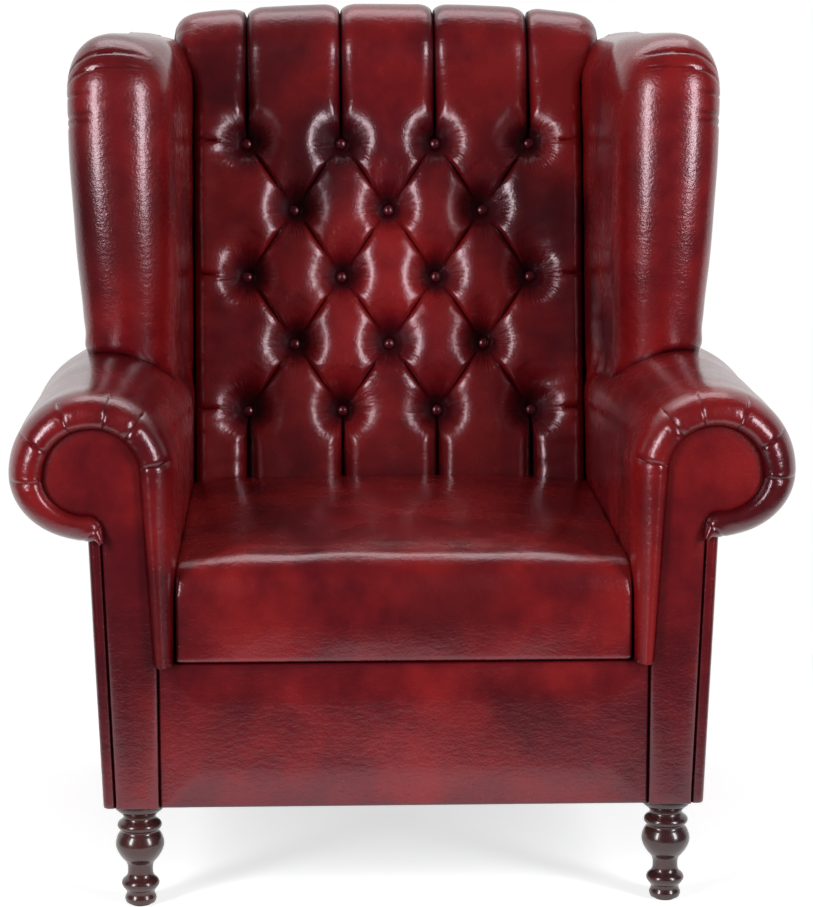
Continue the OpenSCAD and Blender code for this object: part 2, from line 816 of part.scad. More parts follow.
// Place along the back, and height in tuft steps, of a row of the grid
function row_v(r) =
    r < low_rows ? mix(lining_t + fit, tuft_first, r / low_rows)
    : r < low_rows + tuft_row_steps ? tuft_first + (r - low_rows) * tuft_v / tuft_steps
    : mix(tuft_top, back_length, (r - low_rows - tuft_row_steps) / high_rows);
spread_length = PI * back_roll_r / 4;
function half_at(v) = back_half + back_spread * smooth((v - back_line) / spread_length);
function col_x(c, v) =
    let (k = c - back_half_cols, inner = tuft_cols * tuft_x / (2 * tuft_steps))
    abs(k) <= tuft_cols ? k * tuft_x / (2 * tuft_steps)
    : sign(k) * mix(inner, half_at(v), (abs(k) - tuft_cols) / edge_cols);

// Distance in tuft steps from the nearest pleat of a family
pleat_pitch = 2 * tuft_steps;
function from_pleat(s) = abs(s - pleat_pitch * floor(s / pleat_pitch) - tuft_steps);
pleat_share = 0.55;
edge_share = 0.35;
gap_share = 0.3;
function puff(a, b) =
    let (
        ridge = 1 - pow(1 - max(a, b) / tuft_steps, 2),
        dome = sqrt(sin(90 * a / tuft_steps) * sin(90 * b / tuft_steps))
    ) mix(dome, ridge, pleat_share);
// Fullness over the tuft bottoms as a share: u and w count tuft steps across and up
function fullness(u, w) =
    let (
        up = w - tuft_row_steps,
        down = -w,
        past = max(up, down),
        row = clamp01(w / tuft_row_steps) * tuft_row_steps
    )
    abs(u) > tuft_cols
        ? let (
            out = abs(u) - tuft_cols,
            rib = past > 0 ? min(tuft_steps, past + 1) : tuft_steps - from_pleat(row),
            fall = 1 - (1 - edge_share) * pow(out / edge_cols, 2)
        ) max(edge_share, fall * puff(max(out, rib), min(tuft_steps, out + rib)))
        : past <= 0 ? puff(from_pleat(u + row), from_pleat(u - row))
        : let (c = from_pleat(u)) max(puff(c, c), gap_share * clamp01(past / 2));
function back_point(c, r) =
    let (
        v = row_v(r),
        x = col_x(c, v),
        w = (v - tuft_first) * tuft_steps / tuft_v,
        k = c - back_half_cols,
        f = fullness(k, w),
        turn = clamp01((v - back_line) / (back_length - back_line)),
        rise = clamp01((v - tuft_top) / (back_line - tuft_top)),
        full = mix(mix(tuft_depth, top_fullness, smooth(rise)), rear_pad, smooth(2 * turn - 1)),
        d = full * mix(f, 1, smooth(2 * turn - 1))
    )
    back_place(x, v, d);
// A place d in front of the back's surface line
function back_place(x, v, d) =
    v <= back_line
        ? let (p = plane_point(v, -d)) [x, p[0], p[1]]
        : let (a = 180 - rake - (v - back_line) * 180 / (PI * back_roll_r))
            [x, roll_axis_y + (back_roll_r + d) * cos(a), roll_axis_z + (back_roll_r + d) * sin(a)];
module back_cover() {
    front = [for (r = [0:back_rows]) [for (c = [0:2 * back_half_cols]) back_point(c, r)]];
    back = [for (r = [0:back_rows]) let (v = row_v(r)) [for (side = [-1, 1])
        back_place(side * (half_at(v) - fit), v, -lining_t)]];
    // A cell on a falling pleat takes the falling diagonal
    falls = function (r, c)
        let (u = c - back_half_cols, w = r - low_rows)
        w >= 0 && w < tuft_row_steps && from_pleat(u + w + 1) == 0;
    color("#86121b") pad(front, back, function (r, c) !falls(r, c));
}

module outside_back() {
    top = panel_top_z;
    color("#741019") along_x(-body_half, body_half) polygon([
        [out_y(leg_h) - skin_t, leg_h], [out_y(leg_h), leg_h], [out_y(top), top], [out_y(top) - skin_t, top]
    ]);
}

// Seat

seat_gap = 4;
seat_cover_half = seat_half - seat_gap;
seat_foam_half = seat_cover_half - cover_t - fit;
seat_z = border_top_z + seat_edge_h;
seat_low_z = border_top_z + fit;
seat_crown_drop = 3;
seat_foam_top_z = seat_z - seat_side_drop - seat_crown_drop - cover_t;
seat_rear_gap = 2;
function seat_rear_y(z) = plane_y(z, -tuft_depth - seat_rear_gap);

module seat_foam() {
    front = face_y + cover_t + fit;
    top = seat_foam_top_z - fit;
    color("#e8dca8") along_x(-seat_foam_half, seat_foam_half) polygon([
        [front, seat_low_z], [seat_rear_y(seat_low_z), seat_low_z],
        [seat_rear_y(top), top], [front, top]
    ]);
}

// Places across the seat and along its top, as shares of the way
seat_across_shares = [-1, -0.985, -0.94, -0.85, -0.65, -0.35, 0, 0.35, 0.65, 0.85, 0.94, 0.985, 1];
seat_along_shares = [0.06, 0.15, 0.28, 0.42, 0.56, 0.7, 0.84, 0.95, 1];
seat_face_n = 4;
seat_arc_n = 6;
seat_bow = 5;
// How late across the seat its crown, its dropped sides and its bowed face bend, and how far forward
// the crown's top lies
crown_power = 2.4;
side_power = 6;
bow_power = 8;
crown_lean = 0.8;
module seat_cover() {
    low = seat_low_z;
    turn_z = seat_z - seat_edge_r;
    rear = seat_rear_y(seat_z);
    // Profile points: place from front to rear, height, and share of the crown
    profile = concat(
        [for (i = [0:seat_face_n - 1]) let (t = i / seat_face_n)
            [face_y - seat_bow * sin(180 * t), mix(low, turn_z, t), 0]],
        [for (i = [0:seat_arc_n]) let (a = 90 * i / seat_arc_n)
            [face_y + seat_edge_r * (1 - cos(a)), turn_z + seat_edge_r * sin(a), 0]],
        [for (t = seat_along_shares)
            [mix(face_y + seat_edge_r, rear, t), seat_z, sin(180 * pow(t, crown_lean))]]
    );
    front = [for (q = profile) [for (s = seat_across_shares)
        let (
            lift = clamp01((q[1] - low) / (seat_z - low)),
            drop = seat_side_drop * pow(abs(s), side_power) + seat_crown_drop * pow(s, 2),
            crown = seat_crown * q[2] * (1 - pow(abs(s), crown_power))
        )
        [s * seat_cover_half, q[0] + seat_bow * pow(abs(s), bow_power), q[1] - lift * drop + crown]]];
    color("#86121b") pad(front, seat_lining(profile, low));
}
// The seat cover's inner side: up the front of the foam, then flat over it
function seat_lining(profile, low) =
    let (
        face = seat_face_n + seat_arc_n,
        rear = seat_rear_y(seat_foam_top_z),
        inner_y = face_y + cover_t
    )
    [for (i = [0:len(profile) - 1])
        let (
            up = clamp01(i / face),
            along = clamp01((i - face) / (len(profile) - 1 - face)),
            y = mix(inner_y, rear, along),
            z = mix(low, seat_foam_top_z, up)
        )
        [for (side = [-1, 1]) [side * (seat_cover_half - fit), y, z]]];

// The front border, between the facings
border_recess = 2;
module front_border_cover() {
    color("#7c1018") box(
        [-facing_in_x + fit, face_y + border_recess, leg_h],
        [facing_in_x - fit, face_y + border_recess + leather_t, border_top_z]
    );
}
module border_foam() {
    color("#e8dca8") box(
        [-facing_in_x + fit, face_y + border_recess + leather_t + fit, leg_h],
        [facing_in_x - fit, frame_y, border_top_z]
    );
}

// Wings

wing_front_y = front_y + wing_setback;
wing_low_z = arm_h + fit;
// The rim's inner side lies this far in from the edge
wing_rim = 6;
wing_board_top_z = wing_top_z - wing_round - wing_rim;
wing_board_front_y = wing_front_y + wing_round + wing_rim;
wing_span = wing_top_z - wing_low_z;
wing_low_in = 4;
// Places down a wing from its top and back from its front edge: over the padded edge, then past it
wing_edge_shares = [0, 0.05, 0.18, 0.4, 0.7, 1];
wing_down_shares = [0.06, 0.14, 0.28, 0.45, 0.63, 0.82, 1];
wing_back_shares = [0.1, 0.25, 0.45, 0.7, 0.8, 1];

function ear(z) = wing_ear * sin(180 * clamp01((z - wing_low_z) / wing_span));
// Front edge of a wing at a height, with its rounded corner
function wing_edge_y(z) =
    let (rise = max(0, z - (wing_top_z - wing_corner_r)))
    wing_front_y - ear(z) + wing_corner_r - sqrt(max(0, pow(wing_corner_r, 2) - pow(rise, 2)));
// Distance from a place on a wing to its padded edge
function edge_gap(y, z) =
    let (
        base = wing_front_y - ear(z),
        cy = base + wing_corner_r,
        cz = wing_top_z - wing_corner_r
    )
    y < cy && z > cz ? wing_corner_r - norm([y - cy, z - cz]) : min(y - base, wing_top_z - z);
function swell_share(gap) = sqrt(max(0, 1 - pow(1 - clamp01(gap / wing_round), 2)));
function wing_in_x(y, z) = back_half + fit + (pit_y(z) - y) * tan(wing_inner_flare);
function wing_out_x(y, z) =
    body_half + (out_y(z) - y) * tan(wing_flare) - wing_low_in * (1 - (z - wing_low_z) / wing_span);
// The plane between a wing's two halves, from the middle of its front edge to the post
wing_front_mids = [for (z = [wing_low_z, wing_top_z])
    (wing_in_x(wing_front_y, z) + wing_out_x(wing_front_y, z)) / 2];
wing_mid_slope = (wing_front_mids[0] - post_in_x - 2 * fit) / (post_front_y(wing_low_z) - wing_front_y);
function wing_mid_x(y, z) =
    mix(wing_front_mids[0], wing_front_mids[1], (z - wing_low_z) / wing_span)
    - (y - wing_front_y) * wing_mid_slope;
// Over the board the outside wraps in behind the sitter's side to meet the back's roll
wing_wrap = 30;
function wing_wrap_x(y, z) =
    let (wrapped = smooth((y - wing_cover_rear(z) - wing_rim) / wing_wrap))
    z <= wing_board_top_z + over ? wing_mid_x(y, z)
    : mix(wing_mid_x(y, z), back_half + back_spread + 2 * fit, wrapped);
function wing_z(i) = i < len(wing_edge_shares)
    ? wing_top_z - wing_round * wing_edge_shares[i]
    : wing_top_z - mix(wing_round, wing_span, wing_down_shares[i - len(wing_edge_shares)]);
wing_rows = len(wing_edge_shares) + len(wing_down_shares);
function wing_y(j, z, rear) = let (front = wing_edge_y(z))
    j < len(wing_edge_shares)
        ? front + wing_round * wing_edge_shares[j]
        : mix(front + wing_round, rear, wing_back_shares[j - len(wing_edge_shares)]);
wing_cols = len(wing_edge_shares) + len(wing_back_shares);
// Height of the inner side of a wing's half, which clears the board's top one padded edge down
wing_pocket_top_z = wing_board_top_z + fit;
function rim_z(z) =
    let (shoulder = wing_top_z - wing_round)
    z < shoulder ? mix(wing_low_z, wing_pocket_top_z, (z - wing_low_z) / (shoulder - wing_low_z))
    : mix(wing_pocket_top_z, wing_top_z - wing_rim, (z - shoulder) / wing_round);

// Face of a wing's half: side -1 faces the sitter and side 1 faces out
function wing_face(side, rear) = [for (i = [0:wing_rows - 1]) let (z = wing_z(i))
    [for (j = [0:wing_cols - 1]) let (
            y = wing_y(j, z, rear(z)),
            mid = side < 0 ? wing_mid_x(y, z) : wing_wrap_x(y, z),
            full = side < 0 ? mid - wing_in_x(y, z) : wing_out_x(y, z) - mid
        )
        [mid + side * max(fit, full * swell_share(edge_gap(y, z))), y, z]]];

function wing_cover_rear(z) = pit_y(z) + fit;
foam_rear_t = 24;
module wing_cover() {
    front = wing_face(-1, function (z) wing_cover_rear(z));
    back = [for (i = [0:wing_rows - 1]) let (
            z0 = wing_z(i),
            z = rim_z(z0),
            edge = wing_edge_y(z0) + wing_rim,
            rear = wing_cover_rear(z),
            hollow = z <= wing_foam_top_z + over ? foam_rear_t : 0
        )
        [for (y = [edge, edge + wing_round, rear])
            [wing_mid_x(y, z) - (y == rear ? hollow : 0), y, z]]];
    color("#86121b") pad(front, back);
}
module wing_cover_left() { left() wing_cover(); }
module wing_cover_right() { wing_cover(); }

// A wedge of foam between the wing's cover and its board
wing_foam_top_z = wing_top_z - 2 * wing_round;
module wing_foam() {
    heights = [wing_low_z, wing_foam_top_z - wing_round];
    points = [for (z = heights)
        let (front = wing_front_y + wing_corner_r, rear = wing_cover_rear(z))
        each [
            [wing_mid_x(front, z) - fit, front, z],
            [wing_mid_x(rear, z) - fit, rear, z],
            [wing_mid_x(rear, z) - foam_rear_t + 2 * fit, rear, z]
        ]];
    color("#e8dca8") polyhedron(points, [
        [0, 1, 2], [5, 4, 3], [0, 4, 1], [0, 3, 4], [1, 5, 2], [1, 4, 5], [2, 3, 0], [2, 5, 3]
    ]);
}
module wing_foam_left() { left() wing_foam(); }
module wing_foam_right() { wing_foam(); }

// The ply board of a wing, from the arm's log to the front of the back post
module wing_board() {
    points = [for (z = [wing_low_z, wing_board_top_z], x = [fit, fit + wing_board_t])
        each [
            [wing_mid_x(wing_board_front_y, z) + x, wing_board_front_y, z],
            [wing_mid_x(post_front_y(z) - fit, z) + x, post_front_y(z) - fit, z]
        ]];
    color("#c9a270") polyhedron(points, [
        [0, 2, 3], [0, 3, 1], [4, 5, 7], [4, 7, 6], [0, 1, 5], [0, 5, 4],
        [2, 6, 7], [2, 7, 3], [0, 4, 6], [0, 6, 2], [1, 3, 7], [1, 7, 5]
    ]);
}
module wing_board_left() { left() wing_board(); }
module wing_board_right() { wing_board(); }

// The outside of a wing wraps its board and its post and meets the inside cover at the rim
module outside_wing() {
    // Columns of the outer face that the inner side follows above the board
    outer_cols = [4, 7, 9];
    function rear(z) = min(rear_y, post_rear_y(z));
    front = wing_face(1, function (z) rear(z));
    back = [for (i = [0:wing_rows - 1]) let (
            z0 = wing_z(i),
            z = rim_z(z0),
            edge = wing_edge_y(z0) + wing_rim,
            pocket = z <= wing_board_top_z + over,
            board = wing_board_t + 2 * fit,
            clear = 2 * fit,
            ys = pocket
                ? [edge, wing_board_front_y - clear - over, wing_board_front_y - clear,
                    post_front_y(z) - clear - over, post_front_y(z) - clear, rear(z)]
                : concat([edge, edge + wing_rim], [for (j = outer_cols) wing_y(j, z0, rear(z0))], [rear(z)])
        )
        [for (k = [0:len(ys) - 1]) let (mid = wing_wrap_x(ys[k], z) + fit)
            [
                !pocket || k < 2 ? mid : k < len(ys) - 2 ? mid + board : post_out_x + fit,
                ys[k], z
            ]]];
    color("#741019") pad([for (row = front) flip(row)], [for (row = back) flip(row)]);
}
module outside_wing_left() { left() outside_wing(); }
module outside_wing_right() { outside_wing(); }

front_leg_left();
front_leg_right();
rear_leg_left();
rear_leg_right();
floor_glides();
leg_bolts();
threaded_inserts();
front_rail();
back_rail();
side_rail_left();
side_rail_right();
corner_blocks();
frame_dowels();
front_stump_left();
front_stump_right();
arm_log_left();
arm_log_right();
arm_panel_left();
arm_panel_right();
back_post_left();
back_post_right();
crest_rail();
tufting_board();
back_cheek_left();
back_cheek_right();
wing_board_left();
wing_board_right();
webbing_lengthwise();
webbing_crosswise();
webbing_felt();
seat_foam();
back_foam();
arm_foam_left();
arm_foam_right();
wing_foam_left();
wing_foam_right();
border_foam();
seat_cover();
back_cover();
arm_cover_left();
arm_cover_right();
wing_cover_left();
wing_cover_right();
front_border_cover();
facing_board_left();
facing_board_right();
facing_cover_left();
facing_cover_right();
outside_arm_left();
outside_arm_right();
outside_wing_left();
outside_wing_right();
outside_back();
arm_rear_cap_left();
arm_rear_cap_right();
tuft_buttons();
tuft_twines();
tuft_washers();
dust_cover();
dust_cover_staples();
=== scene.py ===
"""The looks of a button-backed wing armchair in antique red leather.

Everything is in metres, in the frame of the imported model: the floor is z = 0, the sitter faces -Y,
and "left" is the side of negative X.
"""

from __future__ import annotations

import json
import logging
import math
from collections.abc import Callable, Iterator, Mapping, Sequence
from contextlib import contextmanager
from dataclasses import dataclass, field
from enum import Enum
from typing import Any, ClassVar

import bpy
import numpy as np
from mathutils import Euler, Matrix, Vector

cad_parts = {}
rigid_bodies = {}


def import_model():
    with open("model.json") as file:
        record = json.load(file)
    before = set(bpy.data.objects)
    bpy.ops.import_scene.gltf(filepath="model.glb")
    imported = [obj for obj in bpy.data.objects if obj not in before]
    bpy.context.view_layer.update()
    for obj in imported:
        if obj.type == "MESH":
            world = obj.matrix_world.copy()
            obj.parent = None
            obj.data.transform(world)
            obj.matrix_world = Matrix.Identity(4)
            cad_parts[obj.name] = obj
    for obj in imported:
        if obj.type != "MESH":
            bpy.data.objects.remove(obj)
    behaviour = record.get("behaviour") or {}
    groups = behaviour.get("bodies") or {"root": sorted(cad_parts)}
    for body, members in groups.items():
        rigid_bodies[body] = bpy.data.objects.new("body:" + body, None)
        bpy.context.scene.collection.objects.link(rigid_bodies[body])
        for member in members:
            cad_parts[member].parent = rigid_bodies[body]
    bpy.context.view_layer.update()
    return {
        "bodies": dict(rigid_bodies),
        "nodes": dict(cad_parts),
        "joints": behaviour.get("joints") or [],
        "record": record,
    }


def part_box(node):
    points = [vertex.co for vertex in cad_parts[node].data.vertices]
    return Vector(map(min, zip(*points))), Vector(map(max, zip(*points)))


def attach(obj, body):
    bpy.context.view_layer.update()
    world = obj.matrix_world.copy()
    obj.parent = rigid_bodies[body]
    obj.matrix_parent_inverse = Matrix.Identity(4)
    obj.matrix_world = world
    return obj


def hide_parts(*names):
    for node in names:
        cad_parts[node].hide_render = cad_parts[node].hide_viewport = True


LOG = logging.getLogger("armchair")
BODY = "root"

# A quarter turn, the distance within which vertices become one, the thickness of leather over padding
# and of leather with a backing, how far a flat panel's rim turns in, and the angles in degrees up to
# which neighbouring faces are shaded as one.
QUARTER = math.pi / 2.0
MERGE = 0.00005
LEATHER_THICK = 0.0025
BACKED_THICK = 0.003
PANEL_TURN = 0.0045
ROUND_SHADE = 60.0
FIRM_SHADE = 50.0

Colour = tuple[float, float, float]
Points = np.ndarray


class Side(Enum):
    """The two sides of the chair, with the sign of their X."""

    LEFT = -1
    RIGHT = 1

    @property
    def tail(self) -> str:
        """The word that ends the side's piece names."""
        return self.name.lower()


# Shaping helpers


def mix(a: Any, b: Any, share: Any) -> Any:
    """Goes from a to b by a share, on numbers or arrays."""
    return a + (b - a) * share


def smooth(share: Any) -> Any:
    """Eases a share in and out between 0 and 1."""
    held = np.clip(share, 0.0, 1.0)
    return held * held * (3.0 - 2.0 * held)


def dome(share: Any) -> Any:
    """Rises like a quarter circle from 0 at 0 to 1 at 1 and stays there."""
    held = np.clip(share, 0.0, 1.0)
    return np.sqrt(1.0 - (1.0 - held) ** 2)


def cusp(distance: Any, reach: float) -> Any:
    """Falls from 1 on a crease to 0 at its reach, as two round pads that meet.

    Args:
        distance: Distance from the crease.
        reach: Distance at which the crease ends.

    Returns:
        The share of the crease's depth.
    """
    return 1.0 - dome(distance / reach)


def ripple(a: Any, b: Any, waves: Sequence[tuple[float, float, float]]) -> Any:
    """Adds a few plane waves, which make a soft unevenness that never changes.

    Args:
        a: First coordinate in metres.
        b: Second coordinate in metres.
        waves: Waves per metre along a, the same along b, and a phase in turns, for each wave.

    Returns:
        A value between -1 and 1.
    """
    total = sum(np.sin(2.0 * math.pi * (fa * a + fb * b + turn)) for fa, fb, turn in waves)
    return total / len(waves)


def steps(*stretches: tuple[float, float, int]) -> Points:
    """Joins stretches of even steps, each given by its start, end and number of steps."""
    rows = [np.linspace(a, b, n, endpoint=False) for a, b, n in stretches]
    return np.concatenate([*rows, [stretches[-1][1]]])


def tucked(low: float, high: float, tuck: float, fine: int, wide: int) -> Points:
    """Steps from low to high, with finer ones over a tuck at both ends."""
    return steps((low, low + tuck, fine), (low + tuck, high - tuck, wide), (high - tuck, high, fine))


def pairs(x: Any, z: Any) -> Points:
    """Puts two rows of coordinates side by side."""
    return np.stack([x, z], axis=-1)


def round_steps(length: float, count: int) -> Points:
    """Distances over a round edge, close together where the surface turns fastest."""
    return length * (1.0 - np.cos(np.linspace(0.0, math.pi / 2.0, count + 1)))


def returned(values: Points) -> tuple[Points, Points]:
    """Doubles both ends of a row of places, so that a skin can turn back there.

    Args:
        values: The places in order.

    Returns:
        The places with both ends doubled, and a share that is 1 on the two added ends.
    """
    share = np.zeros(len(values) + 2)
    share[[0, -1]] = 1.0
    return np.concatenate([values[:1], values, values[-1:]]), share


class Bench:
    """The modelling operators that the sub-assemblies share."""

    @staticmethod
    def deselect() -> None:
        """Leaves nothing selected."""
        bpy.ops.object.select_all(action="DESELECT")

    @classmethod
    def pick(cls, piece: bpy.types.Object) -> None:
        """Makes a piece the only selected one, and the active one."""
        cls.deselect()
        piece.select_set(True)
        bpy.context.view_layer.objects.active = piece

    @staticmethod
    @contextmanager
    def editing(action: str = "SELECT") -> Iterator[None]:
        """Edits the mesh of the active piece.

        Args:
            action: What is done to its selection first.

        Yields:
            Nothing, while the piece is in edit mode.
        """
        bpy.ops.object.mode_set(mode="EDIT")
        bpy.ops.mesh.select_all(action=action)
        yield
        bpy.ops.object.mode_set(mode="OBJECT")

    @staticmethod
    def outward() -> None:
        """Turns all faces outwards, in edit mode."""
        bpy.ops.mesh.select_all(action="SELECT")
        bpy.ops.mesh.normals_make_consistent(inside=False)

    @classmethod
    def plate(cls, outline: Points, y: float) -> bpy.types.Object:
        """Makes a flat face across Y.

        Args:
            outline: X and Z of its corners in order.
            y: Its place from front to rear.

        Returns:
            The piece.
        """
        cls.deselect()
        bpy.ops.mesh.primitive_circle_add(vertices=len(outline), radius=1.0, fill_type="NGON")
        piece = bpy.context.object
        for vertex, (x, z) in zip(piece.data.vertices, outline):
            vertex.co = (x, y, z)
        return piece

    @classmethod
    def sheet(cls, name: str, points: Points, rub: Points | float = 1.0) -> bpy.types.Object:
        """Lays a grid and moves its vertices to the places of a skin.

        Args:
            name: Name of the piece.
            points: Places by row and column. The skin's outer side is the one from which columns turn
                to rows anticlockwise.
            rub: How far each place stands proud and is rubbed bright, from 0 to 1. Low values also
            paint shade into creases, pits, seams and recesses.

        Returns:
            The skin, still open and without thickness.
        """
        rows, columns = points.shape[:2]
        cls.deselect()
        bpy.ops.mesh.primitive_grid_add(x_subdivisions=columns - 1, y_subdivisions=rows - 1, size=1.0)
        piece = bpy.context.object
        piece.name = piece.data.name = name
        piece.data.vertices.foreach_set("co", points.reshape(-1).astype(np.float32))
        cls.mark(piece, "rub", np.broadcast_to(rub, (rows, columns)))
        piece.data.update()
        return piece

    @staticmethod
    def places(piece: bpy.types.Object) -> Points:
        """Places of a piece's vertices, one row each."""
        flat = np.empty(len(piece.data.vertices) * 3, np.float32)
        piece.data.vertices.foreach_get("co", flat)
        return flat.reshape(-1, 3).astype(float)

    @staticmethod
    def put(piece: bpy.types.Object, points: Points) -> None:
        """Moves a piece's vertices to places, one row each."""
        piece.data.vertices.foreach_set("co", points.reshape(-1).astype(np.float32))
        piece.data.update()

    @classmethod
    def joined(cls, pieces: Sequence[bpy.types.Object], name: str) -> bpy.types.Object:
        """Joins pieces into one and merges the vertices that they share."""
        cls.pick(pieces[0])
        for piece in pieces:
            piece.select_set(True)
        bpy.ops.object.join()
        whole = bpy.context.object
        whole.name = whole.data.name = name
        with cls.editing():
            bpy.ops.mesh.remove_doubles(threshold=MERGE)
        return whole

    @staticmethod
    def mark(piece: bpy.types.Object, name: str, values: Points) -> None:
        """Writes a value or a vector for each vertex, which a finish reads by its name."""
        kind = "FLOAT_VECTOR" if values.ndim == 3 else "FLOAT"
        key = "vector" if values.ndim == 3 else "value"
        layer = piece.data.attributes.new(name, kind, "POINT")
        layer.data.foreach_set(key, np.ascontiguousarray(values, np.float32).reshape(-1))

    @classmethod
    def modify(cls, piece: bpy.types.Object, kind: str, **settings: Any) -> None:
        """Adds a modifier with its settings and applies it."""
        cls.pick(piece)
        modifier = piece.modifiers.new(kind.title(), kind)
        for key, value in settings.items():
            setattr(modifier, key, value)
        bpy.ops.object.modifier_apply(modifier=modifier.name)

    @classmethod
    def thicken(cls, piece: bpy.types.Object, thickness: float) -> None:
        """Gives a skin its thickness inwards, which closes it."""
        cls.modify(piece, "SOLIDIFY", thickness=thickness, offset=-1.0, use_even_offset=False)

    @classmethod
    def shade(cls, piece: bpy.types.Object, degrees: float = 42.0) -> None:
        """Shades a piece smooth, up to an angle between faces."""
        cls.pick(piece)
        bpy.ops.object.shade_smooth_by_angle(angle=math.radians(degrees))

    @classmethod
    def mirrored(cls, piece: bpy.types.Object, name: str) -> bpy.types.Object:
        """Copies a right-hand piece to the left, with its own mesh and its faces turned outwards."""
        twin = piece.copy()
        twin.data = piece.data.copy()
        twin.name = twin.data.name = name
        bpy.context.scene.collection.objects.link(twin)
        cls.pick(twin)
        twin.scale.x = -1.0
        bpy.ops.object.transform_apply(location=True, rotation=True, scale=True)
        with cls.editing():
            cls.outward()
        return twin

    @classmethod
    def block(cls, name: str, node: str, bevel: float, segments: int = 3,
              shrink: float = 0.0) -> bpy.types.Object:
        """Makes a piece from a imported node's own mesh, with its edges rounded.

        Args:
            name: Name of the piece.
            node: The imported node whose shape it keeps.
            bevel: Width of the rounding.
            segments: Steps over the rounding.
            shrink: How far its faces are drawn in first.

        Returns:
            The piece.
        """
        mesh = bpy.data.objects[node].data.copy()
        piece = bpy.data.objects.new(name, mesh)
        mesh.name = name
        mesh.materials.clear()
        bpy.context.scene.collection.objects.link(piece)
        cls.pick(piece)
        with cls.editing():
            bpy.ops.mesh.remove_doubles(threshold=MERGE)
            bpy.ops.mesh.dissolve_limited(angle_limit=math.radians(1.0))
            if shrink > 0.0:
                bpy.ops.transform.shrink_fatten(value=-shrink)
        cls.modify(piece, "BEVEL", width=bevel, segments=segments, limit_method="ANGLE",
                   angle_limit=math.radians(35.0), use_clamp_overlap=True)
        cls.mark(piece, "rub", np.full((len(mesh.vertices), 1), 1.0))
        cls.shade(piece)
        return piece

    @staticmethod
    def place(piece: bpy.types.Object, finish: Finish, slot: str, nodes: Sequence[str],
              fill: float | None = None) -> None:
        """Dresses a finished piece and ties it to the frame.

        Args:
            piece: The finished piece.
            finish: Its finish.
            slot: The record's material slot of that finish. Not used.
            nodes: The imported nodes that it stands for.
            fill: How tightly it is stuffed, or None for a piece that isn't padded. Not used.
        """
        piece.data.materials.clear()
        piece.data.materials.append(finish.material())
        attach(piece, BODY)
        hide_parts(*nodes)
        LOG.info("%s: %d faces, for %s", piece.name, len(piece.data.polygons), ", ".join(nodes))


@dataclass(frozen=True)
class Stuffing:
    """Air in a closed pad, which stretches its cover as a tight filling does."""

    voxel: float = 0.006
    pressure: float = 4.0
    frames: int = 20
    quality: int = 6
    mass: float = 0.3
    evening: int = 60
    follow: float = 0.6

    def blow(self, piece: bpy.types.Object, nailed: Callable[[Points], Points],
             most: Callable[[Points], Points]) -> None:
        """Args:
            piece: The closed pad.
            nailed: Says which places can't move.
            most: Gives the furthest that each place may move.
        """
        Bench.pick(piece)
        piece.data.remesh_voxel_size = self.voxel
        bpy.ops.object.voxel_remesh()
        start = Bench.places(piece)
        group = piece.vertex_groups.new(name="nailed")
        group.add(np.flatnonzero(nailed(start)).tolist(), 1.0, "REPLACE")
        cloth = piece.modifiers.new("Cloth", "CLOTH")
        cloth.settings.quality = self.quality
        cloth.settings.mass = self.mass
        cloth.settings.use_pressure = True
        cloth.settings.uniform_pressure_force = self.pressure
        cloth.settings.vertex_group_mass = group.name
        cloth.settings.effector_weights.gravity = 0.0
        for frame in range(1, self.frames + 1):
            bpy.context.scene.frame_set(frame)
        Bench.pick(piece)
        bpy.ops.object.modifier_apply(modifier=cloth.name)
        move = self.eased(piece, Bench.places(piece) - start, nailed(start))
        length = np.linalg.norm(move, axis=1)
        LOG.info("%s moved up to %.1f mm", piece.name, 1000.0 * float(length.max()))
        held = np.minimum(1.0, most(start) / np.maximum(length, 1e-9))
        Bench.put(piece, start + move * held[:, None])
        piece.vertex_groups.clear()
        bpy.context.scene.frame_set(1)
        Bench.modify(piece, "SUBSURF", levels=1, render_levels=1)

    def eased(self, piece: bpy.types.Object, move: Points, held: Points) -> Points:
        """Spreads a movement over its neighbours, as stiff leather does.

        Args:
            piece: The pad.
            move: The way that each vertex moved.
            held: Which vertices don't move.

        Returns:
            The evened ways.
        """
        ends = np.empty(2 * len(piece.data.edges), np.int32)
        piece.data.edges.foreach_get("vertices", ends)
        a, b = ends.reshape(-1, 2).T
        both, other = np.concatenate([a, b]), np.concatenate([b, a])
        count = np.maximum(np.bincount(both, minlength=len(move)), 1)
        for _ in range(self.evening):
            near = np.stack([np.bincount(both, move[other, axis], len(move)) for axis in range(3)], axis=-1)
            move = np.where(held[:, None], 0.0, mix(move, near / count[:, None], self.follow))
        return move


# Finishes


class Wire:
    """A shader socket that adds Math nodes where it stands in an expression."""

    def __init__(self, paint: Paint, socket: bpy.types.NodeSocket) -> None:
        """Wraps a socket of a material."""
        self.paint = paint
        self.socket = socket

    def math(self, operation: str, other: Wire | float) -> Wire:
        """Adds a Math node that works on this socket and another input."""
        return self.paint.node("ShaderNodeMath", {0: self, 1: other}, operation=operation)

    def __add__(self, other: Wire | float) -> Wire:
        """Adds."""
        return self.math("ADD", other)

    def __sub__(self, other: Wire | float) -> Wire:
        """Takes away."""
        return self.math("SUBTRACT", other)

    def __mul__(self, other: Wire | float) -> Wire:
        """Multiplies."""
        return self.math("MULTIPLY", other)

    def band(self, low: float, high: float) -> Wire:
        """Goes from 0 to 1 as the socket goes from low to high, eased, and is held beyond."""
        inputs = {"Value": self, "From Min": low, "From Max": high}
        return self.paint.node("ShaderNodeMapRange", inputs, interpolation_type="SMOOTHSTEP")


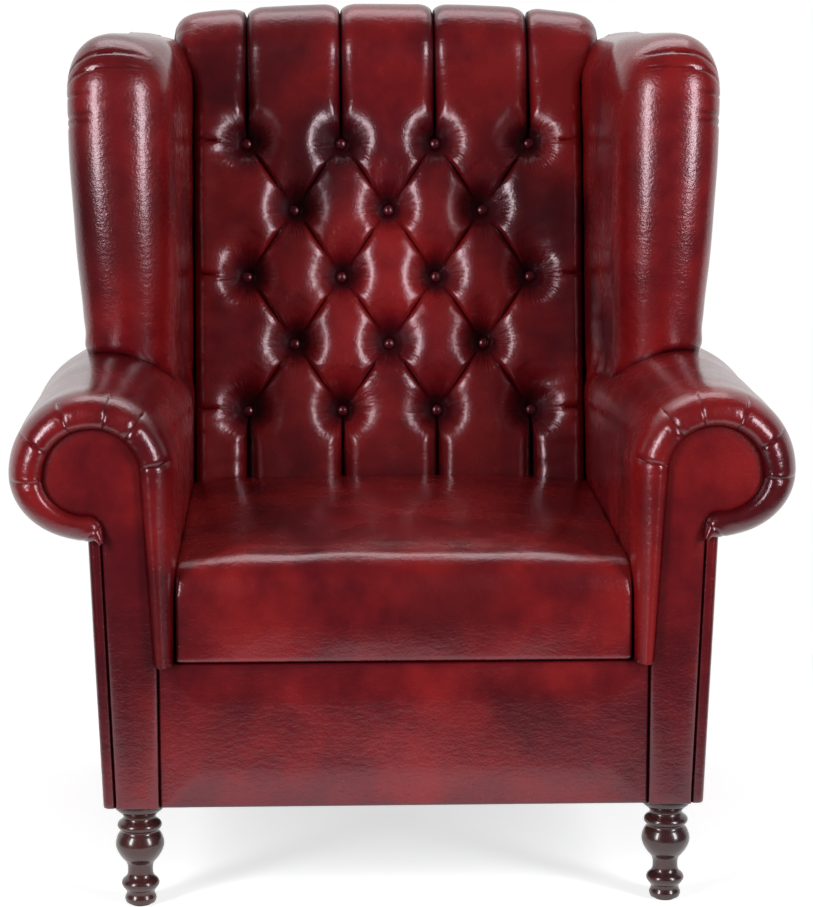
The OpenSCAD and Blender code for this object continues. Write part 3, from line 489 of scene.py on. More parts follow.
class Paint:
    """The node tree of one material or of the world."""

    def __init__(self, owner: bpy.types.Material | bpy.types.World) -> None:
        """Clears the owner's nodes."""
        self.owner = owner
        owner.use_nodes = True
        self.tree = owner.node_tree
        self.tree.nodes.clear()

    def node(self, kind: str, inputs: Mapping[Any, Any], out: str | int = 0, **settings: Any) -> Wire:
        """Adds a node.

        Args:
            kind: Blender's name of the node type.
            inputs: A value, colour or wire for each input, by name or number.
            out: The output to return, by name or number.
            settings: The node's own settings, which are set first.

        Returns:
            The wire from the node's output.
        """
        made = self.tree.nodes.new(kind)
        for key, value in settings.items():
            setattr(made, key, value)
        for key, value in inputs.items():
            socket = made.inputs[key]
            if isinstance(value, Wire):
                self.tree.links.new(value.socket, socket)
            elif isinstance(value, tuple) and socket.type == "RGBA":
                socket.default_value = (*value, 1.0)
            else:
                socket.default_value = value
        return Wire(self, made.outputs[out])

    def place(self, scale: Sequence[float] = (1.0, 1.0, 1.0)) -> Wire:
        """Places on the object in metres, stretched by a scale."""
        spot = self.node("ShaderNodeTexCoord", {}, out="Object")
        return self.node("ShaderNodeMapping", {"Vector": spot, "Scale": tuple(scale)})

    def noise(self, where: Wire, scale: float, detail: float = 3.0, roughness: float = 0.5) -> Wire:
        """Cloudy noise from 0 to 1, with its scale in clouds per metre."""
        inputs = {"Vector": where, "Scale": scale, "Detail": detail, "Roughness": roughness}
        return self.node("ShaderNodeTexNoise", inputs, out="Fac")

    def cells(self, where: Wire, scale: float, feature: str = "F1") -> Wire:
        """Distances in a pattern of cells, with its scale in cells per metre."""
        inputs = {"Vector": where, "Scale": scale}
        return self.node("ShaderNodeTexVoronoi", inputs, out="Distance", feature=feature)

    def blend(self, share: Wire | float, a: Wire | Colour, b: Wire | Colour) -> Wire:
        """Mixes two colours, through the inputs and the output that the Mix node keeps for colours."""
        inputs = {0: share, 6: a, 7: b}
        return self.node("ShaderNodeMix", inputs, out=2, data_type="RGBA")

    def attribute(self, name: str, out: str = "Fac") -> Wire:
        """A value or vector that the mesh holds for each vertex."""
        return self.node("ShaderNodeAttribute", {}, out=out, attribute_name=name)

    def bump(self, height: Wire, distance: float, strength: float = 1.0, over: Wire | None = None) -> Wire:
        """Turns a height from 0 to 1 into a slope of the surface.

        Args:
            height: The height.
            distance: What a height of 1 stands for, in metres.
            strength: How much of it shows.
            over: A bump that this one lies on.

        Returns:
            The normal.
        """
        inputs: dict[str, Any] = {"Height": height, "Distance": distance, "Strength": strength}
        if over is not None:
            inputs["Normal"] = over
        return self.node("ShaderNodeBump", inputs)

    def finish(self, **sockets: Any) -> bpy.types.Material:
        """Ends the material in one principled shader.

        Args:
            sockets: Values or wires of its inputs, with underscores for the spaces.

        Returns:
            The material.
        """
        inputs = {key.replace("_", " "): value for key, value in sockets.items()}
        return self.close(self.node("ShaderNodeBsdfPrincipled", inputs), "ShaderNodeOutputMaterial")

    def close(self, shader: Wire, output: str) -> Any:
        """Ends the tree in a shader and returns its owner."""
        end = self.tree.nodes.new(output)
        self.tree.links.new(shader.socket, end.inputs["Surface"])
        return self.owner


@dataclass(frozen=True)
class Finish:
    """A surface finish, which makes its material once."""

    name: str
    made: ClassVar[dict[str, bpy.types.Material]] = {}

    def material(self) -> bpy.types.Material:
        """The finish's material."""
        if self.name not in Finish.made:
            Finish.made[self.name] = self.paint(Paint(bpy.data.materials.new(self.name)))
        return Finish.made[self.name]

    def paint(self, paint: Paint) -> bpy.types.Material:
        """Builds the material."""
        raise NotImplementedError


@dataclass(frozen=True)
class Leather(Finish):
    """Antique leather: dark dye and painted shade in the creases and recesses, rubbed red on what
    stands proud, under a satin glaze.
    """

    dark: Colour = (0.024, 0.0012, 0.0030)
    middle: Colour = (0.085, 0.0022, 0.0050)
    bright: Colour = (0.232, 0.0070, 0.0075)
    shift: float = 0.0
    roughness: float = 0.25
    clouds: float = 7.0
    grain: float = 0.00011
    puckers: float = 0.0
    coat: float = 0.18
    coat_roughness: float = 0.17
    gloss: float = 0.70
    sheen: Colour = (1.0, 0.74, 0.84)

    def paint(self, paint: Paint) -> bpy.types.Material:
        """Builds the leather."""
        where = paint.place()
        rub = paint.attribute("rub")
        cloud = paint.noise(where, self.clouds, detail=4.0, roughness=0.55)
        streak = paint.noise(paint.place((0.8, 0.8, 0.7)), self.clouds * 6.0, detail=5.0, roughness=0.6)
        # Painted shade: the attribute read above is low in pits, creases, seams and recesses, so those places
        # darken here along with the real dye and wear. The clouds and streaks are the leather's own tone.
        wear_and_shade = (cloud * 0.74 + streak * 0.26 + (rub - 0.85) * 0.35 + self.shift).band(0.34, 0.68)
        deep = (rub + streak * 0.25).band(0.20, 0.80)
        colour = paint.blend(wear_and_shade, self.middle, self.bright)
        colour = paint.blend(deep, self.dark, colour)
        veil = paint.noise(where, self.clouds * 0.6, detail=3.0).band(0.50, 0.72)
        colour = paint.blend(veil * 0.6, colour, self.dark)
        pores = paint.cells(where, 620.0)
        pebble = paint.cells(where, 330.0, feature="SMOOTH_F1")
        crease = paint.noise(paint.place((0.6, 0.8, 1.3)), 130.0, detail=4.0, roughness=0.6)
        height = pores * 0.2 + pebble * 0.5 + crease * 1.6
        normal = paint.bump(height, self.grain * 5.0, 0.6)
        if self.puckers > 0.0:
            normal = self.pucker(paint, normal)
        rough = wear_and_shade * 0.05 + streak * 0.10 + (self.roughness - 0.07)
        return paint.finish(Base_Color=colour, Roughness=rough, Normal=normal, Coat_Weight=self.coat,
                            Coat_Roughness=self.coat_roughness, Specular_IOR_Level=self.gloss,
                            Specular_Tint=self.sheen)

    def pucker(self, paint: Paint, normal: Wire) -> Wire:
        """Adds the fine wrinkles that run out from each button.

        Args:
            paint: The material.
            normal: The bump under the wrinkles.

        Returns:
            The normal with the wrinkles.
        """
        spoke = paint.attribute("spoke", out="Vector")
        near = paint.attribute("near")
        ray = paint.node("ShaderNodeVectorMath", {0: spoke}, operation="NORMALIZE")
        lines = paint.noise(ray, 12.0, detail=3.0, roughness=0.55).band(0.34, 0.68)
        return paint.bump(lines * near, self.puckers, 0.7, over=normal)


@dataclass(frozen=True)
class Wood(Finish):
    """Wood with its grain along the height, bare or polished."""

    light: Colour = (0.42, 0.25, 0.12)
    dark: Colour = (0.27, 0.14, 0.06)
    roughness: float = 0.55
    polish: float = 0.0
    along: Sequence[float] = (1.0, 1.0, 0.08)
    rings: float = 90.0

    def paint(self, paint: Paint) -> bpy.types.Material:
        """Builds the wood."""
        where = paint.place(self.along)
        warp = paint.noise(where, self.rings * 0.2, detail=2.0)
        fibre = paint.noise(where, self.rings * 6.0, detail=4.0, roughness=0.6)
        figure = paint.noise(where, self.rings, detail=3.0)
        tone = (figure * 0.5 + fibre * 0.3 + warp * 0.4).band(0.38, 0.80)
        colour = paint.blend(tone, self.dark, self.light)
        rough = fibre * 0.12 + (self.roughness - 0.06)
        normal = paint.bump(fibre, 0.00008, 0.5 * (1.0 - 0.8 * self.polish))
        return paint.finish(Base_Color=colour, Roughness=rough, Normal=normal,
                            Coat_Weight=self.polish, Coat_Roughness=0.08)


@dataclass(frozen=True)
class Foam(Finish):
    """Open-celled cushion foam."""

    colour: Colour = (0.74, 0.62, 0.36)

    def paint(self, paint: Paint) -> bpy.types.Material:
        """Builds the foam."""
        where = paint.place()
        pores = paint.cells(where, 700.0)
        stain = paint.noise(where, 9.0)
        darker = tuple(0.8 * part for part in self.colour)
        colour = paint.blend(stain, darker, self.colour)
        return paint.finish(Base_Color=colour, Roughness=pores * 0.1 + 0.85,
                            Normal=paint.bump(pores, 0.0006, 0.7))


@dataclass(frozen=True)
class Cloth(Finish):
    """Woven or matted cloth, with two sets of threads across each other."""

    colour: Colour = (0.5, 0.42, 0.28)
    threads: float = 700.0
    matted: float = 0.0
    stripe: Colour | None = None

    def paint(self, paint: Paint) -> bpy.types.Material:
        """Builds the cloth."""
        where = paint.place()
        settings = {"wave_type": "BANDS", "wave_profile": "SIN"}
        inputs = {"Vector": where, "Scale": self.threads / 6.3, "Distortion": 0.4}
        warp = paint.node("ShaderNodeTexWave", inputs, out="Fac", bands_direction="X", **settings)
        weft = paint.node("ShaderNodeTexWave", inputs, out="Fac", bands_direction="Y", **settings)
        fuzz = paint.noise(where, self.threads, detail=4.0, roughness=0.7)
        height = (warp + weft) * (0.5 * (1.0 - self.matted)) + fuzz * (0.3 + self.matted)
        darker = tuple(0.6 * part for part in self.colour)
        colour = paint.blend(height.band(0.2, 0.8), darker, self.colour)
        if self.stripe is not None:
            bands = paint.node("ShaderNodeTexWave", {"Vector": where, "Scale": 5.0}, out="Fac",
                               bands_direction="DIAGONAL", **settings)
            colour = paint.blend(bands.band(0.9, 0.96), colour, self.stripe)
        return paint.finish(Base_Color=colour, Roughness=0.9, Sheen_Weight=0.2,
                            Normal=paint.bump(height, 0.0004, 0.8))


@dataclass(frozen=True)
class Metal(Finish):
    """Plain hardware metal, finely brushed."""

    colour: Colour = (0.55, 0.56, 0.58)
    roughness: float = 0.38

    def paint(self, paint: Paint) -> bpy.types.Material:
        """Builds the metal."""
        brush = paint.noise(paint.place((1.0, 1.0, 9.0)), 420.0, detail=3.0)
        stain = paint.noise(paint.place(), 60.0, detail=3.0)
        darker = tuple(0.7 * part for part in self.colour)
        return paint.finish(Base_Color=paint.blend(stain.band(0.35, 0.7), darker, self.colour),
                            Metallic=1.0, Roughness=brush * 0.2 + (self.roughness - 0.1),
                            Normal=paint.bump(brush, 0.00004, 0.6))


@dataclass(frozen=True)
class Plastic(Finish):
    """Moulded plastic with a fine texture."""

    colour: Colour = (0.016, 0.015, 0.014)

    def paint(self, paint: Paint) -> bpy.types.Material:
        """Builds the plastic."""
        texture = paint.noise(paint.place(), 900.0, detail=3.0)
        lighter = tuple(1.6 * part for part in self.colour)
        return paint.finish(Base_Color=paint.blend(texture, self.colour, lighter),
                            Roughness=texture * 0.2 + 0.45, Normal=paint.bump(texture, 0.00005, 0.6))


ROLL_LEATHER = Leather("roll_leather")
TUFT_LEATHER = Leather("tuft_leather", shift=-0.02, puckers=0.0015)
BODY_LEATHER = Leather("body_leather", shift=-0.07, clouds=6.0)
BUTTON_LEATHER = Leather("button_leather", shift=-0.25, roughness=0.26, clouds=30.0)
LEG_WOOD = Wood("leg_wood", light=(0.070, 0.016, 0.014), dark=(0.026, 0.007, 0.008), roughness=0.26,
                polish=0.5, rings=60.0)
BEECH = Wood("beech", light=(0.55, 0.35, 0.19), dark=(0.40, 0.23, 0.11))
PLYWOOD = Wood("plywood", light=(0.56, 0.38, 0.20), dark=(0.38, 0.23, 0.11), along=(0.15, 1.0, 0.15))
CUSHION_FOAM = Foam("foam")
WEBBING = Cloth("webbing", colour=(0.52, 0.42, 0.26), stripe=(0.16, 0.05, 0.03))
FELT = Cloth("felt", colour=(0.24, 0.22, 0.20), matted=0.9)
LINING = Cloth("lining", colour=(0.020, 0.019, 0.021), threads=1100.0)
TWINE = Cloth("twine", colour=(0.70, 0.62, 0.46), threads=1500.0)
STEEL = Metal("steel")
BRASS = Metal("brass", colour=(0.62, 0.43, 0.16), roughness=0.32)
GLIDE = Plastic("glide")


@dataclass(frozen=True)
class Layout:
    """Places that the sub-assemblies share, in metres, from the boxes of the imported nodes."""

    front: float
    face: float
    rear: float
    body_half: float
    leg_top: float
    border_top: float
    border_half: float
    seat_half: float
    arm_rear: float
    roll_x: float
    roll_z: float
    wing_low: float
    wing_top: float
    wing_front: float
    panel_top: float
    roll_r: float = 0.094
    roll_tail: tuple[float, float] = (0.066, 0.084)
    slim_from: float = -0.04
    slim_over: float = 0.26
    rake: float = math.radians(11.3)
    back_roll_r: float = 0.0575
    back_lean: float = 0.110
    skin: float = 0.005
    padding: float = 0.003
    fit: float = 0.0003

    @classmethod
    def measured(cls) -> Layout:
        """Reads the places from the frame."""
        arm_low, arm_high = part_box("arm_cover_right")
        facing_low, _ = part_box("facing_cover_right")
        _, border_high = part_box("front_border_cover")
        _, seat_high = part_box("seat_cover")
        wing_low, wing_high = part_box("wing_cover_right")
        _, panel_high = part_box("outside_back")
        return cls(
            front=arm_low.y, face=facing_low.y, rear=panel_high.y, body_half=panel_high.x,
            leg_top=facing_low.z, border_top=border_high.z, border_half=border_high.x,
            seat_half=seat_high.x, arm_rear=arm_high.y, roll_x=arm_high.x - cls.roll_r,
            roll_z=arm_high.z - cls.roll_r, wing_low=wing_low.z, wing_top=wing_high.z,
            wing_front=wing_low.y, panel_top=panel_high.z,
        )

    @property
    def roll_axis(self) -> tuple[float, float]:
        """Y and Z of the axis that the back's top rolls over."""
        return self.rear - self.skin - self.padding - self.fit - self.back_roll_r, self.panel_top

    @property
    def back_line(self) -> float:
        """Length of the back's straight part, from the border's top to the roll."""
        rise = self.roll_axis[1] + self.back_roll_r * math.sin(self.rake) - self.border_top
        return rise / math.cos(self.rake)

    def roll_half(self, y: Any) -> tuple[Any, Any]:
        """Half width outwards and half height of the arm's roll at a place from front to rear."""
        share = smooth((y - self.slim_from) / self.slim_over)
        return mix(self.roll_r, self.roll_tail[0], share), mix(self.roll_r, self.roll_tail[1], share)

    def pit_y(self, z: Any) -> Any:
        """Y of the plane of the tuft bottoms at a height."""
        axis_y, axis_z = self.roll_axis
        end_y = axis_y - self.back_roll_r * math.cos(self.rake)
        end_z = axis_z + self.back_roll_r * math.sin(self.rake)
        return end_y + (z - end_z) * math.tan(self.rake)

    def out_y(self, z: Any) -> Any:
        """Y of the outside back at a height."""
        return self.rear - self.back_lean * (self.panel_top - z) / (self.panel_top - self.leg_top)

    def back_place(self, x: Points, v: Points, proud: Points) -> Points:
        """Places on the inside back.

        Args:
            x: Place across.
            v: Length along the back, from the border's top up and over the roll.
            proud: Distance in front of the plane of the tuft bottoms.

        Returns:
            The places.
        """
        axis_y, axis_z = self.roll_axis
        flat_y = self.pit_y(self.border_top) + v * math.sin(self.rake) - proud * math.cos(self.rake)
        flat_z = self.border_top + v * math.cos(self.rake) + proud * math.sin(self.rake)
        turn = math.pi - self.rake - (v - self.back_line) / self.back_roll_r
        reach = self.back_roll_r + proud
        over = v > self.back_line
        y = np.where(over, axis_y + reach * np.cos(turn), flat_y)
        z = np.where(over, axis_z + reach * np.sin(turn), flat_z)
        return np.stack([x, y, z], axis=-1)


@dataclass
class ButtonedBack:
    """The deep-buttoned inside back, its buttons and the plain panel behind it."""

    layout: Layout
    across: float = 0.126
    along: float = 0.0895
    first: float = 0.205
    depth: float = 0.040
    fullness: float = 0.015
    length: float = 0.8558
    side_gap: float = 0.004
    spread: float = 0.028
    pit_floor: float = 0.12
    pit_flat: float = 0.005
    pit_reach: float = 0.053
    pit_power: float = 2.4
    pit_up: float = 0.74
    ear_from: float = 0.052
    ear_over: float = 0.082
    pleat_reach: float = 0.026
    pleat_depth: float = 0.24
    groove_depth: float = 0.07
    groove_reach: float = 0.0045
    channel_reach: float = 0.022
    channel_depth: float = 0.80
    top_fall: float = 0.009
    corner_fall: float = 0.020
    corner_reach: float = 0.036
    button_r: float = 0.0066
    fold_high: float = 0.0003
    wave_high: float = 0.0013
    side_wave_high: float = 0.0010
    panel_full: float = 0.0015
    panel_wave_high: float = 0.0006
    button_rise: float = 0.0030
    button_full: float = 0.05
    button_flat: float = 0.70
    cell: float = 0.00315
    rows_long: tuple[int, ...] = (4, 3, 4, 3, 4)
    pits: Points = field(init=False)

    def __post_init__(self) -> None:
        """Works out the places of the buttons, across and along."""
        self.pits = np.array([
            ((i - (count - 1) / 2.0) * self.across, self.first + row * self.along)
            for row, count in enumerate(self.rows_long) for i in range(count)
        ])

    @property
    def half(self) -> float:
        """Half of the back's width below the roll."""
        return self.layout.seat_half - self.side_gap

    @property
    def outer(self) -> float:
        """Place across of the outermost buttons."""
        return self.across * (self.rows_long[0] - 1) / 2.0

    @property
    def last(self) -> float:
        """Place along of the highest row of buttons."""
        return self.first + (len(self.rows_long) - 1) * self.along

    def pleats(self) -> list[tuple[Points, Points, float, float]]:
        """The creases between the buttons.

        Returns:
            For each, its two ends, its depth as a share, and its reach.
        """
        found = []
        for a in self.pits:
            for b in self.pits:
                step = b - a
                beside = abs(abs(step[0]) - self.across / 2.0) < self.cell
                if beside and abs(step[1] - self.along) < self.cell:
                    found.append((a, b, self.pleat_depth, self.pleat_reach))
            if a[1] > self.last - self.cell:
                found.append((a, np.array([a[0], self.length * 1.2]), self.channel_depth, self.channel_reach))
            if a[1] < self.first + self.cell:
                found.append((a, np.array([a[0], -0.1]), self.channel_depth * 0.8, self.channel_reach * 1.1))
            if abs(a[0]) > self.outer - self.cell:
                side = np.array([math.copysign(self.half + 0.03, a[0]), a[1] + 0.004])
                found.append((a, side, self.pleat_depth * 0.55, self.pleat_reach * 0.5))
        return found

    def drop(self, x: Points, v: Points) -> tuple[Points, Points, Points]:
        """How far the leather is drawn in.

        Args:
            x: Places across.
            v: Places along.

        Returns:
            The drop as a share of the depth, the way from the nearest button, and its distance.
        """
        at = np.stack([x, v], axis=-1)
        way = at[..., None, :] - self.pits
        gaps = np.linalg.norm(way, axis=-1)
        nearest = gaps.argmin(axis=-1)
        gap = np.take_along_axis(gaps, nearest[..., None], axis=-1)[..., 0]
        spoke = np.take_along_axis(way, nearest[..., None, None], axis=-2)[..., 0, :]
        tall = np.hypot(spoke[..., 0], spoke[..., 1] * np.where(spoke[..., 1] > 0.0, self.pit_up, 1.0))
        pit = np.clip((tall - self.pit_flat) / self.pit_reach, 0.0, 1.0)
        pit = (1.0 - self.pit_floor) * (1.0 - pit) ** self.pit_power
        power = 3.0
        total = pit**power
        groove = np.zeros_like(pit)
        for a, b, share, reach in self.pleats():
            line = b - a
            t = np.clip(((at - a) @ line) / (line @ line), 0.0, 1.0)
            off = np.linalg.norm(at - a - t[..., None] * line, axis=-1)
            total = total + (share * cusp(off, reach)) ** power
            groove = np.maximum(groove, self.groove_depth * cusp(off, self.groove_reach))
        drop = np.clip(total, 0.0, 1.0) ** (1.0 / power) + groove * smooth((gap - 0.012) / 0.01)
        return np.clip(drop, 0.0, 1.0), spoke, gap

    def wrinkles(self, x: Points, v: Points, spoke: Points, gap: Points) -> Points:
        """Small folds: short ones round each button and long soft ones over the pads.

        Args:
            x: Places across.
            v: Places along.
            spoke: Way from the nearest button.
            gap: Distance from the nearest button.

        Returns:
            Heights in metres.
        """
        angle = np.arctan2(spoke[..., 1], spoke[..., 0])
        window = smooth((gap - 0.010) / 0.008) * (1.0 - smooth((gap - 0.026) / 0.018))
        sideways = 0.35 + 0.65 * np.abs(np.cos(angle))
        which = np.round(x / self.across * 2.0) * 1.7 + np.round(v / self.along) * 2.9
        folds = np.sin(15.0 * angle + which) + 0.6 * np.sin(23.0 * angle - 1.3 * which)
        soft = ripple(x, v, [(13.0, 3.1, 0.1), (-9.0, 4.7, 0.4), (21.0, -2.2, 0.7), (5.0, 8.3, 0.2)])
        across = ripple(x, v, [(3.0, 31.0, 0.3), (-7.0, 43.0, 0.6), (11.0, 22.0, 0.9)])
        outside = smooth((np.abs(x) - self.outer + 0.02) / 0.03)
        short = self.fold_high * folds * window * sideways
        return short + self.wave_high * soft + self.side_wave_high * across * outside

    def cover(self) -> bpy.types.Object:
        """Builds the leather of the inside back, on a grid whose diagonals follow the pleats."""
        inner = round(self.outer / self.cell)
        edge = 20
        foot = 0.0055
        step = self.along / round(self.across / 2.0 / self.cell)
        below = round((self.first - foot) / step)
        between = round((self.last - self.first) / step)
        k = np.arange(-inner - edge, inner + edge + 1).astype(float)
        v = steps((foot, self.first, below), (self.first, self.last, between), (self.last, self.length, 84))
        columns, along = np.meshgrid(k, v)
        piece = Bench.sheet("tufted_back", np.stack([columns, along, along], axis=-1))
        Bench.pick(piece)
        with Bench.editing():
            bpy.ops.mesh.poke()
        flat = Bench.places(piece)
        points, rub, near, spoke = self.surface(flat[:, 0], flat[:, 1], inner, edge)
        Bench.put(piece, points)
        piece.data.attributes.remove(piece.data.attributes["rub"])
        Bench.mark(piece, "rub", rub[:, None])
        Bench.mark(piece, "near", near[:, None])
        Bench.mark(piece, "spoke", np.concatenate([spoke, np.zeros_like(spoke[:, :1])], axis=-1)[:, None, :])
        Bench.thicken(piece, LEATHER_THICK)
        Bench.shade(piece, ROUND_SHADE)
        Bench.place(piece, TUFT_LEATHER, "roll_leather", ["back_cover"], fill=0.7)
        return piece

    def surface(self, columns: Points, along: Points, inner: int, edge: int) -> tuple[Points, ...]:
        """Works out the leather's surface.

        Args:
            columns: Number of the grid's column for each vertex, counted from the middle.
            along: Place along the back for each vertex.
            inner: Columns from the middle to the outermost button.
            edge: Columns from there to the edge.

        Returns:
            The places, how far they stand proud together with the shade painted into the pits and
            along the sides, how near they are to a button's rim, and the way from the nearest button.
        """
        lay = self.layout
        half = self.half + self.spread * smooth((along - lay.back_line + self.ear_from) / self.ear_over)
        out = np.clip((np.abs(columns) - inner) / edge, 0.0, 1.0)
        x = np.where(np.abs(columns) <= inner, columns * self.outer / inner,
                     np.sign(columns) * mix(self.outer, half, out**0.9))
        drop, spoke, gap = self.drop(x, along)
        turn = np.clip((along - lay.back_line) / (self.length - lay.back_line), 0.0, 1.0)
        rise = smooth((along - self.last) / (lay.back_line - self.last))
        behind = smooth(2.0 * turn - 1.0)
        full = mix(mix(self.depth, self.fullness, rise), 0.003, behind)
        rim = half - np.abs(x)
        edge_fall = mix(0.45, 1.0, dome(rim / 0.016))
        height = full * (1.0 - drop * (1.0 - behind)) * edge_fall
        height = height + self.wrinkles(x, along, spoke, gap) * (1.0 - 0.75 * rise) * edge_fall
        fall = self.top_fall * (np.abs(x) / 0.23) ** 2.5
        fall = fall + self.corner_fall * (1.0 - dome(rim / self.corner_reach))
        height = height - fall * smooth((along - lay.back_line + 0.03) / 0.07) * (1.0 - behind)
        near = smooth((gap - 0.007) / 0.009) * (1.0 - smooth((gap - 0.024) / 0.022))
        # Dye and painted shade: darker down in the pits and creases. Painted shade: darker towards the side
        # edges beside the wings.
        rub = np.clip(1.12 - 1.35 * drop, 0.0, 1.0) * edge_fall
        return lay.back_place(x, along, height), rub, near, spoke

    def buttons(self) -> bpy.types.Object:
        """Builds the covered buttons, one at the bottom of each pit."""
        made = []
        rise = self.depth * self.pit_floor + self.button_rise
        spots = self.layout.back_place(self.pits[:, 0], self.pits[:, 1], np.full(len(self.pits), rise))
        for spot in spots:
            Bench.deselect()
            bpy.ops.mesh.primitive_uv_sphere_add(segments=28, ring_count=16, radius=self.button_r)
            button = bpy.context.object
            for vertex in button.data.vertices:
                belt = 1.0 - abs(vertex.co.z) / self.button_r
                vertex.co.x *= 1.0 + self.button_full * belt
                vertex.co.y *= 1.0 + self.button_full * belt
                vertex.co.z *= self.button_flat
            button.rotation_euler = Euler((QUARTER - self.layout.rake, 0.0, 0.0))
            button.location = Vector(spot)
            made.append(button)
        for button in made:
            button.select_set(True)
        bpy.context.view_layer.objects.active = made[0]
        bpy.ops.object.transform_apply(location=True, rotation=True, scale=True)
        bpy.ops.object.join()
        piece = bpy.context.object
        piece.name = piece.data.name = "covered_buttons"
        Bench.mark(piece, "rub", np.full((len(piece.data.vertices), 1), 0.75))
        Bench.shade(piece, ROUND_SHADE)
        Bench.place(piece, BUTTON_LEATHER, "button_leather", ["tuft_buttons"])
        return piece

    def panel(self) -> bpy.types.Object:
        """Builds the plain leather panel behind the back."""
        lay = self.layout
        tuck = 0.007
        x = tucked(-lay.body_half, lay.body_half, tuck, 5, 70)
        z = tucked(lay.leg_top, lay.panel_top, tuck, 5, 80)
        across, up = np.meshgrid(x[::-1], z)
        rim = np.minimum.reduce([lay.body_half - np.abs(across), up - lay.leg_top, lay.panel_top - up])
        wave = ripple(across, up, [(2.1, 1.3, 0.2), (-3.4, 2.2, 0.6), (1.2, -4.1, 0.9)])
        proud = self.panel_full * smooth(rim / 0.06) + self.panel_wave_high * wave * smooth(rim / 0.04)
        y = lay.out_y(up) - PANEL_TURN * (1.0 - dome(rim / tuck)) + proud
        # Darker towards the turned-in rim.
        piece = Bench.sheet("outside_back_panel", np.stack([across, y, up], axis=-1),
                            mix(0.45, 0.95, dome(rim / (2.0 * tuck))))
        Bench.thicken(piece, BACKED_THICK)
        Bench.shade(piece)
        Bench.place(piece, BODY_LEATHER, "body_leather", ["outside_back"])
        return piece

    def build(self) -> None:
        """Builds the back's pieces."""
        self.cover()
        self.buttons()
        self.panel()


